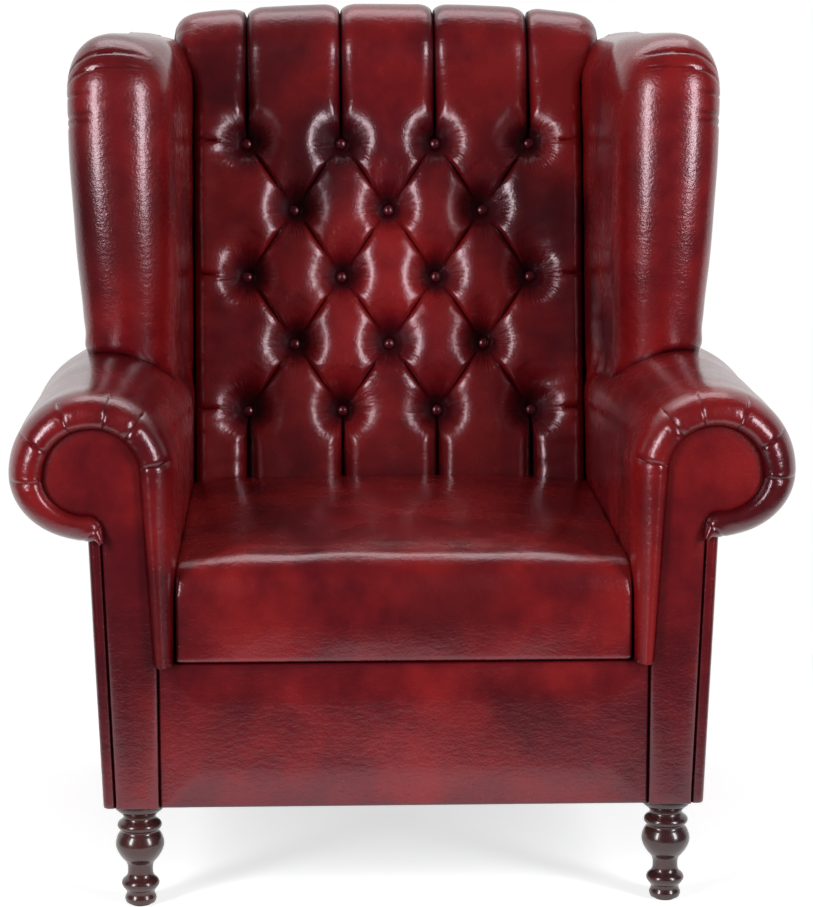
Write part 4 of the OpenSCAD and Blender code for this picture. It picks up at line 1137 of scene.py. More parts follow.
@dataclass
class Seat:
    """The pull-over seat and the border under it."""

    layout: Layout
    edge_r: float = 0.042
    side_drop: float = 0.005
    crown: float = 0.024
    blown: float = 0.012
    bow: float = 0.005
    edge_z: float = 0.421
    turn_back: float = 0.010
    play: float = 0.0005
    seam_depth: float = 0.006
    side_seam_depth: float = 0.004
    wave_high: float = 0.0013
    tuck_depth: float = 0.0012
    border_full: float = 0.0030
    border_wave_high: float = 0.0007
    border_in: float = 0.0012
    stitch: float = 0.0065
    pucker_high: float = 0.0002
    tuft_depth: float = 0.042
    corner_tucks: tuple[tuple[float, float, float], ...] = ((0.55, -0.035, 0.007), (0.9, 0.112, 0.006))

    @property
    def half(self) -> float:
        """Half of the seat's width."""
        return self.layout.seat_half - self.play

    def rear(self, z: Any) -> Any:
        """Y at which the seat meets the tufts, at a height."""
        lay = self.layout
        return lay.pit_y(z) - self.tuft_depth / math.cos(lay.rake)

    def cover(self) -> bpy.types.Object:
        """Builds the seat: a closed pad that is blown up, with its seams drawn in afterwards."""
        lay = self.layout
        low = lay.border_top + lay.fit
        turn_z = self.edge_z - self.edge_r
        arc = np.linspace(0.0, QUARTER, 12)[1:]
        share = np.linspace(0.0, 1.0, 24)[1:]
        down = np.linspace(0.0, 1.0, 6)[1:]
        face_z = np.linspace(low, turn_z, 12)
        top = len(face_z) + len(arc) + len(share)
        rear_z = mix(self.edge_z, low, down)
        y = np.concatenate([np.full(len(face_z), lay.face), lay.face + self.edge_r * (1.0 - np.cos(arc)),
                            mix(lay.face + self.edge_r, self.rear(self.edge_z), share), self.rear(rear_z),
                            mix(self.rear(low), lay.face, down[:-1])])
        z = np.concatenate([face_z, turn_z + self.edge_r * np.sin(arc), np.full(len(share), self.edge_z),
                            rear_z, np.full(len(down) - 1, low)])
        hill = np.zeros(len(y))
        hill[len(face_z) + len(arc): top] = np.sin(math.pi * share**0.8)
        across, y2 = np.meshgrid(np.linspace(-1.0, 1.0, 49), np.append(y, y[0]))
        z2 = np.broadcast_to(np.append(z, z[0])[:, None], across.shape)
        lift = (z2 - low) / (self.edge_z - low)
        fall = self.side_drop * np.abs(across) ** 6 + 0.003 * across**2
        raised = np.append(hill, hill[0])[:, None] * (1.0 - np.abs(across) ** 2.4)
        z2 = z2 - lift * fall + (self.crown - self.blown) * raised
        piece = Bench.sheet("seat_leather", np.stack([across * self.half, y2, z2], axis=-1))
        Bench.pick(piece)
        with Bench.editing():
            bpy.ops.mesh.remove_doubles(threshold=2.0 * MERGE)
            bpy.ops.mesh.fill_holes(sides=0)
            Bench.outward()
        Stuffing().blow(piece, self.nailed, self.most)
        self.sew(piece)
        Bench.shade(piece, ROUND_SHADE)
        Bench.place(piece, ROLL_LEATHER, "roll_leather", ["seat_cover"], fill=0.9)
        return piece

    def nailed(self, places: Points) -> Points:
        """Says which places of the seat are held: its underside, its rear and its sides."""
        lay = self.layout
        x, y, z = places.T
        return (z < lay.border_top + 0.005) | (y > self.rear(z) - 0.006) | (np.abs(x) > lay.seat_half - 0.006)

    def most(self, places: Points) -> Points:
        """How far each place of the seat may move: most on its top, little on its front."""
        lay = self.layout
        return mix(self.bow, self.blown, smooth((places[:, 1] - lay.face) / (1.4 * self.edge_r)))

    def sew(self, piece: bpy.types.Object) -> None:
        """Draws in the seams round the seat and lays the small tucks at its front corners."""
        lay = self.layout
        low = lay.border_top + lay.fit
        x, y, z = Bench.places(piece).T
        beside = self.half - np.abs(x)
        top = smooth((y - lay.face - 0.3 * self.edge_r) / self.edge_r)
        above = z - low
        seam = 1.0 - dome(above / 0.006)
        side = 1.0 - dome(beside / 0.010)
        wave = ripple(x, y + z, [(3.0, 5.0, 0.3), (-6.0, 2.6, 0.8), (9.0, -3.7, 0.1)])
        near = smooth((np.abs(x) - 0.17) / 0.08) * (1.0 - smooth((y - lay.face - 0.10) / 0.06))
        near = near * smooth(above / 0.05)
        tucks = sum(cusp(np.abs(np.abs(x) + slope * y + off), reach)
                    for slope, off, reach in self.corner_tucks)
        y = y + (self.seam_depth * seam + self.side_seam_depth * side) * (1.0 - top)
        z = z - self.seam_depth * side * top + self.wave_high * wave * smooth(above / 0.03) * top
        z = z - self.tuck_depth * tucks * near * top
        y = y + 0.0012 * wave * smooth(above / 0.03) * (1.0 - top)
        Bench.put(piece, np.stack([np.clip(x, -lay.seat_half, lay.seat_half), y, z], axis=-1))
        # Painted shade: darker along the seam at the foot, along the sides and in the corner tucks.
        rub = mix(0.25, 1.0, dome(above / 0.010)) * mix(0.3, 1.0, dome(beside / 0.014))
        rub = rub - 0.5 * tucks * near * top
        Bench.mark(piece, "rub", np.clip(rub, 0.0, 1.0)[:, None])

    def border(self) -> bpy.types.Object:
        """Builds the flat leather border under the seat."""
        lay = self.layout
        tuck = 0.005
        half = lay.border_half
        x, side = returned(tucked(-half, half, tuck, 6, 150))
        z, end = returned(tucked(lay.leg_top, lay.border_top, tuck, 6, 44))
        across, up = np.meshgrid(x, z)
        back = np.maximum(*np.meshgrid(side, end))
        rim = np.minimum.reduce([half - np.abs(across), up - lay.leg_top, lay.border_top - up])
        wave = ripple(across, up, [(3.1, 4.0, 0.2), (-4.4, 2.5, 0.5), (7.3, 1.2, 0.8)])
        pucker = np.sin(2.0 * math.pi * across / self.stitch) * np.exp(-((lay.border_top - up) / 0.012) ** 2)
        proud = self.border_full * smooth(rim / 0.05) + self.border_wave_high * wave * smooth(rim / 0.03)
        proud = proud + self.pucker_high * pucker
        y = lay.face + PANEL_TURN * (1.0 - dome(rim / tuck)) + self.border_in - proud + self.turn_back * back
        # Painted shade: darker towards the tucked rim, and dark on the ends turned back into the gaps.
        piece = Bench.sheet("front_border_leather", np.stack([across, y, up], axis=-1),
                            mix(0.30, 1.0, dome(rim / (2.0 * tuck))) * (1.0 - back))
        Bench.thicken(piece, BACKED_THICK)
        Bench.shade(piece)
        Bench.place(piece, BODY_LEATHER, "body_leather", ["front_border_cover"])
        return piece

    def build(self) -> None:
        """Builds the seat's pieces."""
        self.cover()
        self.border()


@dataclass
class Arm:
    """A rolled arm: its leather with the pleated scroll, its facing, and its outside."""

    layout: Layout
    roll_low: float = 0.075
    facing_r: float = 0.0575
    facing_low: float = 0.046
    fillet: float = 0.014
    facing_w: float = 0.050
    neck_out: float = 0.006
    bulge: float = 0.015
    crest: float = 0.28
    run_in: float = 0.044
    pleat_depth: float = 0.0042
    pleat_reach: float = 0.0075
    pleat_degrees: tuple[float, ...] = (11.0, 50.0, 77.0, 114.0, 149.0, 184.0)
    pleat_fine: float = 0.0025
    neck_degrees: float = 265.0
    neck_reach: float = 0.005
    neck_tuck: float = 0.001
    neck_swell: float = 0.003
    hook_degrees: float = 68.0
    seat_gap: float = 0.004
    stem_play: float = 0.0005
    puff_high: float = 0.0012
    flute_high: float = 0.00035
    valley_depth: float = 0.0006
    wave_high: float = 0.0009
    strip_full: float = 0.0012
    lip_in: float = 0.004
    return_in: float = 0.008
    wall_thick: float = 0.0014
    facing_deep: float = 0.009
    hem: float = 0.016
    end_deep: float = 0.004
    end_round: float = 0.0015
    rim: tuple[tuple[float, float], ...] = (
        (0.0006, 0.0015), (0.0009, 0.0012), (0.0014, 0.0009),
        (0.0022, 0.0006), (0.0050, 0.0006), (0.0080, 0.0003),
    )

    @property
    def facing_in(self) -> float:
        """Inner edge of the facing at its foot."""
        return self.layout.border_half + self.layout.fit

    @property
    def neck_z(self) -> float:
        """Height at which the roll meets the outside arm."""
        return self.layout.roll_z - self.roll_low

    def stem_in(self, z: Any) -> Any:
        """Inner edge of the facing's stem at a height."""
        lay = self.layout
        share = np.clip((z - lay.border_top) / (lay.roll_z - lay.border_top), 0.0, 1.0)
        return mix(self.facing_in, lay.roll_x - self.facing_r, share)

    def stem_out(self, z: Any) -> Any:
        """Outer edge of the facing's stem at a height."""
        lay = self.layout
        share = (z - lay.leg_top) / (lay.roll_z - lay.leg_top)
        return mix(self.facing_in, lay.roll_x - self.facing_r, share) + self.facing_w

    def wall(self, z: Any) -> Any:
        """Outer face of the outside arm at a height."""
        lay = self.layout
        share = np.clip((z - lay.leg_top) / (self.neck_z - lay.leg_top), 0.0, 1.0)
        return mix(lay.body_half, lay.roll_x + self.neck_out, share)

    def scrolls(self) -> tuple[Points, Points, Points]:
        """The outlines of the roll and of the facing, step by step side by side.

        Returns:
            The roll's places, the facing's places, both as X and Z, and the angle round the roll in
            degrees, from the inside over the top, which goes below zero down the inside.
        """
        lay = self.layout
        line = np.linspace(0.0, 1.0, 71)[:-1]
        top = np.linspace(0.0, 180.0, 221)
        low = np.linspace(0.0, 90.0, 91)[1:]
        seat_in = lay.seat_half + self.seat_gap
        inner = mix(seat_in, lay.roll_x - lay.roll_r, line), mix(lay.border_top, lay.roll_z, line)
        turn, under = np.radians(180.0 - top), np.radians(-low)
        neck_z = lay.roll_z - self.facing_low - self.fillet
        neck_x = self.stem_out(neck_z)
        hook = lay.roll_x + self.facing_r - neck_x - self.fillet
        round_in = np.clip(low / self.hook_degrees, 0.0, 1.0) * QUARTER
        round_out = np.clip((low - self.hook_degrees) / (90.0 - self.hook_degrees), 0.0, 1.0) * QUARTER
        tuck = np.linspace(0.0, 1.0, 9)[1:]
        roll = np.concatenate([
            pairs(*inner),
            pairs(lay.roll_x + lay.roll_r * np.cos(turn), lay.roll_z + lay.roll_r * np.sin(turn)),
            pairs(lay.roll_x + self.neck_out + (lay.roll_r - self.neck_out) * np.cos(under),
                  lay.roll_z + self.roll_low * np.sin(under)),
            pairs(mix(lay.roll_x + self.neck_out, self.stem_out(self.neck_z) - self.neck_tuck, tuck),
                  self.neck_z + self.neck_swell * np.sin(math.pi * tuck)),
        ])
        stem_z = mix(neck_z, self.neck_z, tuck)
        face = np.concatenate([
            pairs(self.stem_in(inner[1]), inner[1]),
            pairs(lay.roll_x + self.facing_r * np.cos(turn), lay.roll_z + self.facing_r * np.sin(turn)),
            pairs(neck_x + hook * np.cos(round_in) + self.fillet * (1.0 - np.sin(round_out)),
                  lay.roll_z - self.facing_low * np.sin(round_in) - self.fillet * (1.0 - np.cos(round_out))),
            pairs(self.stem_out(stem_z) - self.stem_play, stem_z),
        ])
        angle = np.concatenate([(line - 1.0) * 130.0, top, 180.0 + low, 270.0 + 20.0 * tuck])
        return roll, face, angle

    def creases(self, angle: Points) -> Points:
        """How deep the scroll's pleats are round the roll, from 0 to 1."""
        length = math.radians(1.0) * self.layout.roll_r * 0.8
        crease = np.zeros_like(angle)
        for degrees in self.pleat_degrees:
            gap = np.abs(angle - degrees) * length
            here = 0.7 * cusp(gap, self.pleat_reach) + 0.3 * cusp(gap, self.pleat_fine)
            crease = np.maximum(crease, here)
        return np.maximum(crease, 0.5 * cusp(np.abs(angle - self.neck_degrees) * length, self.neck_reach))

    def slimmed(self, roll: Points, angle: Points, y: float) -> Points:
        """Outline of the roll at a place from front to rear.

        Args:
            roll: The outline at the front.
            angle: The angle round it, in degrees.
            y: The place.

        Returns:
            The outline there.
        """
        lay = self.layout
        half, rise = lay.roll_half(y)
        x, z = roll[:, 0] - lay.roll_x, roll[:, 1] - lay.roll_z
        under = (half - self.neck_out) / (lay.roll_r - self.neck_out)
        x = np.where((angle > 180.0) & (angle <= 270.0), self.neck_out + (x - self.neck_out) * under,
                     np.where((angle <= 180.0) & (x > 0.0), x * half / lay.roll_r, x))
        z = np.where((angle <= 180.0) & (z > 0.0), z * rise / lay.roll_r, z)
        return pairs(x + lay.roll_x, z + lay.roll_z)

    def cover(self, side: Side) -> bpy.types.Object:
        """Builds the arm's leather, from the facing's edge round the front and back to the wing."""
        lay = self.layout
        roll, face, angle = self.scrolls()
        lip = np.linspace(0.0, QUARTER, 9)
        bend = np.linspace(0.0, QUARTER, 21)[1:]
        start = lay.face - self.bulge + self.run_in
        runs = steps((start, start + 0.06, 12), (start + 0.06, lay.arm_rear, 42))[1:]
        crease = self.creases(angle)
        puff = 1.0 - crease
        flute = np.sin(np.radians(angle) * 37.0) + 0.5 * np.sin(np.radians(angle) * 61.0 + 1.0)
        nearest = np.min([np.abs(angle - degrees) for degrees in self.pleat_degrees], axis=0)
        flute = flute * np.exp(-((nearest / 9.0) ** 2))
        strip = 1.0 - smooth((angle + 28.0) / 25.0)
        centre = np.array([lay.roll_x, lay.roll_z])
        away = np.where((angle > 0.0)[:, None], roll - centre, np.array([-1.0, 0.0]))
        away = away / np.linalg.norm(away, axis=-1, keepdims=True)
        rows, rub_and_shade_values = [], []
        for turn in np.concatenate([lip, bend + QUARTER]):
            over = max(0.0, turn - QUARTER)
            if turn <= QUARTER:
                share = self.crest * (1.0 - math.cos(turn))
                out = self.bulge * math.sin(turn)
                held = fine = math.sin(turn)
            else:
                share = mix(self.crest, 1.0, math.sin(over))
                out = self.bulge - self.run_in * (1.0 - math.cos(over))
                held = float(1.0 - smooth(over - 0.45))
                fine = float(1.0 - smooth((over - 0.1) / 0.5))
            fold = self.pleat_depth * crease * held - self.puff_high * puff * held
            valley = self.valley_depth * strip * math.exp(-(((share - 0.52) / 0.14) ** 2))
            depth = fold + self.flute_high * flute * fine + valley
            place = mix(face, roll, share) - away * (depth * math.sin(over))[:, None]
            y = lay.face - out + depth * math.cos(over)
            rows.append(np.stack([place[:, 0], y, place[:, 1]], axis=-1))
            # Painted shade: darker where the leather tucks into the crease beside the facing, in the scroll's
            # pleats and in the strip's valley.
            rub = mix(0.10, 1.0, float(smooth(turn))) - 0.75 * crease * held - 90.0 * valley
            rub_and_shade_values.append(np.clip(rub, 0.0, 1.0))
        for y in runs:
            wave = ripple(angle / 360.0, y, [(3.0, 4.2, 0.1), (5.0, -2.9, 0.4), (2.0, 7.7, 0.8)])
            wavy = self.wave_high * wave * smooth((y - start) / 0.04)
            place = self.slimmed(roll, angle, y) + away * wavy[:, None]
            rows.append(np.stack([place[:, 0], np.full(len(roll), y), place[:, 1]], axis=-1))
            rub_and_shade_values.append(np.ones(len(roll)))
        piece = Bench.sheet("rolled_arm_right", np.array(rows)[:, ::-1], np.array(rub_and_shade_values)[:, ::-1])
        Bench.thicken(piece, LEATHER_THICK)
        Bench.shade(piece, ROUND_SHADE)
        return self.sided(piece, side, ROLL_LEATHER, "roll_leather", "rolled_arm", "arm_cover", 0.8)

    def facing(self, side: Side) -> bpy.types.Object:
        """Builds the facing: leather pulled over its board, from the scroll down to the border's foot."""
        lay = self.layout
        _, face, angle = self.scrolls()
        outline = face[angle <= 270.0][::2]
        foot = np.array([[self.stem_out(lay.leg_top), lay.leg_top], [self.stem_in(lay.leg_top), lay.leg_top]])
        piece = Bench.plate(np.concatenate([foot, outline]), lay.face + self.facing_deep)
        with Bench.editing():
            Bench.outward()
            bpy.ops.mesh.extrude_region_move(TRANSFORM_OT_translate={"value": (0.0, -self.facing_deep, 0.0)})
            for width, rise in self.rim:
                bpy.ops.mesh.inset(thickness=width, depth=rise)
            Bench.outward()
            bpy.ops.mesh.select_all(action="DESELECT")
        for polygon in piece.data.polygons:
            polygon.select = polygon.center.y > lay.face + self.facing_deep * 0.9
        bpy.ops.object.mode_set(mode="EDIT")
        bpy.ops.mesh.select_mode(type="FACE")
        bpy.ops.mesh.delete(type="FACE")
        bpy.ops.object.mode_set(mode="OBJECT")
        Bench.thicken(piece, self.wall_thick)
        # Painted shade: the walls set back in the gap behind the facing's front are dark.
        rub_and_shade_values = [smooth((lay.face - 0.0004 - vertex.co.y) / 0.0024) for vertex in piece.data.vertices]
        Bench.mark(piece, "rub", np.array(rub_and_shade_values, float)[:, None])
        Bench.shade(piece, FIRM_SHADE)
        return self.sided(piece, side, BODY_LEATHER, "body_leather", "facing_leather", "facing_cover")

    def outside(self, side: Side) -> bpy.types.Object:
        """Builds the outside arm, which turns in to the facing and rises behind the roll to the wing."""
        lay = self.layout
        corner = 0.007
        seam = 0.004
        tuck = 0.006
        jump = lay.arm_rear + self.end_deep + 2.0 * lay.fit
        top = lay.wing_low - 2.0 * lay.fit
        z, end = returned(steps((lay.leg_top, lay.leg_top + tuck, 5), (lay.leg_top + tuck, self.neck_z, 44),
                                (self.neck_z, top, 26)))
        bend = np.linspace(0.0, QUARTER, 8)
        depth = steps((corner, 0.12, 20), (0.12, jump - lay.face, 60))[1:]
        tail = np.append(np.linspace(0.0, 1.0, 12)[1:], 1.0)
        rows, rub_and_shade_values = [], []
        for height, inner, outer, back in zip(z, self.stem_out(z) + 2.0 * lay.fit, self.wall(z), end):
            rear = lay.out_y(height) - lay.skin - lay.fit
            rise = min(height - lay.leg_top, tuck) / tuck
            lip = self.lip_in * (1.0 - float(dome(rise))) + self.return_in * back
            strip = np.linspace(inner + seam, outer - corner, 6)[1:-1]
            x = np.concatenate([[inner], inner + seam * (1.0 - np.cos(bend)), strip,
                                outer - corner + corner * np.sin(bend),
                                np.full(len(depth) + len(tail), outer)])
            y = np.concatenate([[lay.face + 0.012], lay.face + seam * (1.0 - np.sin(bend)),
                                np.full(len(strip), lay.face), lay.face + corner * (1.0 - np.cos(bend)),
                                lay.face + depth, mix(jump, rear, tail)])
            wave = ripple(y, height, [(2.3, 3.1, 0.1), (-3.9, 1.7, 0.5), (6.1, 2.4, 0.9)])
            turned = smooth((y - lay.face) / 0.02)
            x = x + (self.wave_high * wave - lip) * turned
            x[-1] -= self.hem
            y[-1] += 0.5 * lay.fit
            pad = np.exp(-(((x - (inner + outer) / 2.0) / 0.006) ** 2))
            y = y + lip * (1.0 - turned) - self.strip_full * pad * (1.0 - turned)
            rows.append(np.stack([x, y, np.full(len(x), height)], axis=-1))
            plain = np.full(len(x) - len(bend) - 1, 0.95)
            # Painted shade: dark on the edge and bend that turn in beside the facing.
            rub_and_shade_values.append(np.concatenate([[0.0], mix(0.1, 0.9, np.sin(bend)), plain]))
        points = np.array(rows)
        piece = Bench.sheet("outside_arm_leather_right", points, np.array(rub_and_shade_values))
        columns = points.shape[1]
        self.trim(piece, columns - len(tail) - 2, columns - 1, self.neck_z)
        Bench.thicken(piece, BACKED_THICK)
        Bench.shade(piece)
        return self.sided(piece, side, BODY_LEATHER, "body_leather", "outside_arm_leather", "outside_arm")

    @staticmethod
    def trim(piece: bpy.types.Object, keep_from: int, columns: int, above: float) -> None:
        """Cuts away the part of a grid above a height and before a column.

        Args:
            piece: The grid.
            keep_from: The first column of faces that stays.
            columns: Columns of faces in the grid.
            above: The height.
        """
        with Bench.editing("DESELECT"):
            bpy.ops.mesh.select_mode(type="FACE")
        for number, polygon in enumerate(piece.data.polygons):
            polygon.select = number % columns < keep_from and polygon.center.z > above
        bpy.ops.object.mode_set(mode="EDIT")
        bpy.ops.mesh.delete(type="FACE")
        bpy.ops.object.mode_set(mode="OBJECT")

    def sided(self, piece: bpy.types.Object, side: Side, finish: Finish, slot: str, name: str, node: str,
              fill: float | None = None) -> bpy.types.Object:
        """Puts a right-hand piece on its side and dresses it.

        Args:
            piece: The piece, built on the right.
            side: The side that it belongs to.
            finish: Its finish.
            slot: Its material slot.
            name: Its name without the side.
            node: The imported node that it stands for, without the side.
            fill: How tightly it is stuffed, or None.

        Returns:
            The piece on its side.
        """
        if side is Side.LEFT:
            twin = Bench.mirrored(piece, f"{name}_left")
            bpy.data.objects.remove(piece)
            piece = twin
        else:
            piece.name = piece.data.name = f"{name}_right"
        Bench.place(piece, finish, slot, [f"{node}_{side.tail}"], fill)
        return piece

    def end(self, side: Side) -> bpy.types.Object:
        """Builds the leather that closes the roll's rear end."""
        lay = self.layout
        roll, _, angle = self.scrolls()
        outline = self.slimmed(roll, angle, lay.arm_rear)[angle <= 270.0]
        outline = outline[outline[:, 1] >= self.neck_z][::3]
        piece = Bench.plate(outline, lay.arm_rear + lay.fit)
        with Bench.editing():
            bpy.ops.mesh.extrude_region_move(TRANSFORM_OT_translate={"value": (0.0, self.end_deep, 0.0)})
            Bench.outward()
        Bench.modify(piece, "BEVEL", width=self.end_round, segments=2, limit_method="ANGLE",
                     angle_limit=math.radians(60.0))
        Bench.mark(piece, "rub", np.full((len(piece.data.vertices), 1), 0.8))
        Bench.shade(piece, FIRM_SHADE)
        return self.sided(piece, side, BODY_LEATHER, "body_leather", "arm_end_leather", "arm_rear_cap")

    def build(self, side: Side) -> None:
        """Builds the arm of one side."""
        self.end(side)
        self.cover(side)
        self.facing(side)
        self.outside(side)


@dataclass
class Wing:
    """A padded wing: the leather that rolls over its edges, and the panel outside."""

    layout: Layout
    arm: Arm
    ear: float = 0.014
    reach: float = 0.078
    blunt: float = 2.8
    tip_x: tuple[float, float] = (0.330, 0.352)
    flare: float = math.radians(6.2)
    inner_flare: float = math.radians(2.5)
    lean_in: float = 0.004
    lean_out: float = 0.009
    rear_blunt: float = 22.0
    rear_lean: float = 0.28
    rear_fall: float = 0.010
    foot_in: float = 0.0055
    panel_in: float = 0.0016
    panel_seam: float = 0.002
    pulled_in: float = 0.007
    foot_fold: float = 0.0014
    wave_high: float = 0.0012
    back_half: float = 0.260
    ear_half: float = 0.2889
    wrap_steps: int = 16
    rim_steps: int = 20
    pleat_depth: float = 0.0040
    pleat_reach: float = 0.0065
    pleat_fine: float = 0.0030
    pleat_lean: float = 0.25
    pleats: tuple[tuple[float, float], ...] = (
        (-0.0230, 0.004), (-0.0135, 0.003), (0.0130, 0.003), (0.0430, -0.012), (0.0660, -0.012),
    )

    @property
    def corner_z(self) -> float:
        """Height at which the front edge starts to round over."""
        return self.layout.wing_top - self.reach

    def rise(self, z: Any) -> Any:
        """Share of the way up the wing."""
        lay = self.layout
        return np.clip((z - lay.wing_low) / (lay.wing_top - lay.wing_low), 0.0, 1.0)

    def front(self, z: Any) -> Any:
        """Front edge of the wing at a height."""
        return self.layout.wing_front + self.ear * (1.0 - np.sin(math.pi * self.rise(z)))

    def profile(self, gap: Any, y: Any, inside: Any) -> Any:
        """How full the wing is at a distance from its edge.

        Args:
            gap: The distance.
            y: Place from front to rear, because the inside is boxier towards the back.
            inside: Whether the place is on the inside.

        Returns:
            The share of the fullness, from 0 to 1.
        """
        share = np.clip(gap / self.reach, 0.0, 1.0)
        behind = smooth((y + 0.03) / 0.16) * inside
        lean = self.rear_lean * behind * np.clip(1.0 - gap / 0.058, 0.0, 1.0) ** 1.2
        return np.sqrt(1.0 - (1.0 - share) ** mix(self.blunt, self.rear_blunt, behind)) * (1.0 - lean)

    def inner_x(self, y: Any, z: Any) -> Any:
        """Face of the wing's inside, which moves out past the back's roll behind it."""
        lay = self.layout
        near = self.back_half + lay.fit + np.maximum(0.0, lay.pit_y(z) - y) * math.tan(self.inner_flare)
        near = near + self.foot_in * (1.0 - smooth(self.rise(z) / 0.3)) * (1.0 - smooth((y - 0.05) / 0.15))
        return mix(near, self.ear_half, smooth((y - lay.pit_y(z)) / 0.025))

    def outer_x(self, y: Any, z: Any) -> Any:
        """Face of the wing's outside."""
        lay = self.layout
        rise = self.rise(z)
        ahead = smooth((0.20 - y) / 0.25)
        plane = lay.body_half + (lay.out_y(z) - y) * math.tan(self.flare)
        return plane - self.lean_in * (1.0 - rise) + self.lean_out * smooth(1.4 * rise) * ahead

    def rear(self, z: Any) -> Any:
        """Rear of the wing's outside at a height."""
        lay = self.layout
        return np.minimum(lay.rear, lay.out_y(z) - lay.skin - lay.fit)

    def foot(self, x: Any, y: Any) -> Any:
        """Height of the arm under the wing at a place."""
        lay = self.layout
        half, rise = lay.roll_half(y)
        off = np.clip(np.abs(x - lay.roll_x) / np.where(x > lay.roll_x, half, lay.roll_r), 0.0, 0.985)
        roll = lay.roll_z + rise * np.sqrt(1.0 - off**2)
        return mix(roll, lay.wing_low, smooth((y - lay.arm_rear + 0.02) / 0.02))

    def skin(self, y: Points, z: Points, gap: Points, inside: Points, along: Points) -> tuple[Points, Points]:
        """Places on the wing.

        Args:
            y: Place from front to rear.
            z: Height.
            gap: Distance from the wing's edge.
            inside: Whether each place is on the inside.
            along: Length along the wing's edge from where it starts to round over.

        Returns:
            The places, and how deep in a crease each one lies, from 0 to 1.
        """
        high = np.maximum(z, self.layout.wing_low)
        side = np.where(inside, self.inner_x(y, high), self.outer_x(y, high))
        tip = mix(*self.tip_x, self.rise(high))
        x = tip + (side - tip) * self.profile(gap, y, inside)
        length = np.where(inside, 1.0, -1.0) * gap
        fold = np.zeros_like(y)
        for place, end in self.pleats:
            off = np.abs(along - place - self.pleat_lean * length)
            here = 0.6 * cusp(off, self.pleat_reach) + 0.4 * cusp(off, self.pleat_fine)
            fold = np.maximum(fold, here * smooth((-length - end) / 0.008))
        deep = fold
        fold = fold * self.pleat_depth
        out = np.sqrt(np.clip(gap / self.reach, 0.0, 1.0))
        x = x - np.where(inside, -1.0, 1.0) * fold * out
        y = y + fold * (1.0 - out) * (z < self.corner_z + self.reach * 0.7)
        z = z - fold * (1.0 - out) * (z >= self.corner_z)
        wave = ripple(y, z, [(4.1, 3.0, 0.2), (-7.3, 2.1, 0.5), (2.9, 9.0, 0.8), (12.0, 6.0, 0.4)])
        x = x + self.wave_high * wave * out
        z = z - self.rear_fall * smooth(y / 0.3) * self.rise(z) ** 4
        return np.stack([x, y, z], axis=-1), deep

    def inside(self, side: Side) -> bpy.types.Object:
        """Builds the leather of the wing's inside, which rolls over the edge to the outside."""
        lay = self.layout
        gaps = round_steps(self.reach, self.rim_steps)
        ring = np.concatenate([gaps[self.wrap_steps:0:-1], gaps])
        inner = np.arange(len(ring)) >= self.wrap_steps
        rear_steps, fan = 30, np.linspace(0.0, 1.0, 31)[1:]
        lower = np.concatenate([np.linspace(0.0, 0.06, 9)[:-1], np.linspace(0.06, 0.8, 38)[:-1],
                                np.linspace(0.8, 1.0, 26)])
        rows, rub_and_shade_values = [], []
        for share in lower:
            z = np.full(len(ring) + rear_steps, mix(lay.wing_low, self.corner_z, share))
            for _ in range(3):
                edge = self.front(z)
                gap = np.concatenate([ring, np.full(rear_steps, self.reach)])
                back = mix(edge[len(ring):] + self.reach, lay.pit_y(z[len(ring):]) + lay.fit, fan)
                y = np.concatenate([edge[: len(ring)] + ring, back])
                within = np.concatenate([inner, np.ones(rear_steps, bool)])
                place, deep = self.skin(y, z, gap, within, z - self.corner_z)
                end = self.foot(place[:, 0], y)
                z = mix(end, self.corner_z, share)
            above = z - end
            pulled = self.pulled_in * (1.0 - dome(above / 0.016))
            fold = np.sin(above * 150.0 + y * 95.0) * np.exp(-((above / 0.035) ** 2))
            fold = fold * smooth((y + 0.09) / 0.05)
            place[:, 0] += np.where(within, 1.0, -1.0) * (pulled + self.foot_fold * fold)
            place[:, 1] += pulled * (gap < 0.02)
            place[:, 2] = np.minimum(place[:, 2], z)
            rows.append(place)
            # Painted shade: darker just above the arm and towards the rear where the wing meets the tufts.
            # Dye and painted shade: darker in the pleats.
            wear_and_shade = mix(0.12, 1.0, smooth(above / 0.014)) * mix(0.4, 1.0, smooth((lay.pit_y(z) - y) / 0.04))
            rub_and_shade_values.append(np.clip(wear_and_shade - 0.8 * deep, 0.0, 1.0))
        front = Bench.sheet("wing_front", np.array(rows), np.array(rub_and_shade_values))
        centre_y = self.front(self.corner_z) + self.reach
        tops = np.concatenate([np.zeros(42), fan, 1.0 + np.linspace(0.0, 1.0, 13)[1:]])
        angles = np.concatenate([np.linspace(0.0, QUARTER, 42), np.full(42, QUARTER)])
        rows, rub_and_shade_values = [], []
        for angle, top in zip(angles, tops):
            inwards = self.reach - ring
            z = self.corner_z + inwards * math.sin(angle)
            join, rear = lay.pit_y(z) + lay.fit, self.rear(z)
            start = centre_y - inwards * math.cos(angle)
            y = np.where(top <= 1.0, mix(start, join, min(top, 1.0)), mix(join, rear, max(0.0, top - 1.0)))
            along = np.full(len(ring), angle * self.reach + (y.mean() - centre_y if top > 0.0 else 0.0))
            place, deep = self.skin(y, z, ring, inner, along)
            rows.append(place)
            # Dye and painted shade: darker in the pleats.
            rub_and_shade_values.append(np.clip(1.0 - 0.8 * deep, 0.0, 1.0))
        crown = Bench.sheet("wing_crown", np.array(rows), np.array(rub_and_shade_values))
        piece = Bench.joined([front, crown], "wing_leather_right")
        Bench.pick(piece)
        with Bench.editing():
            Bench.outward()
        Bench.thicken(piece, LEATHER_THICK)
        Bench.shade(piece, ROUND_SHADE)
        return self.arm.sided(piece, side, ROLL_LEATHER, "roll_leather", "wing_leather", "wing_cover", 0.8)

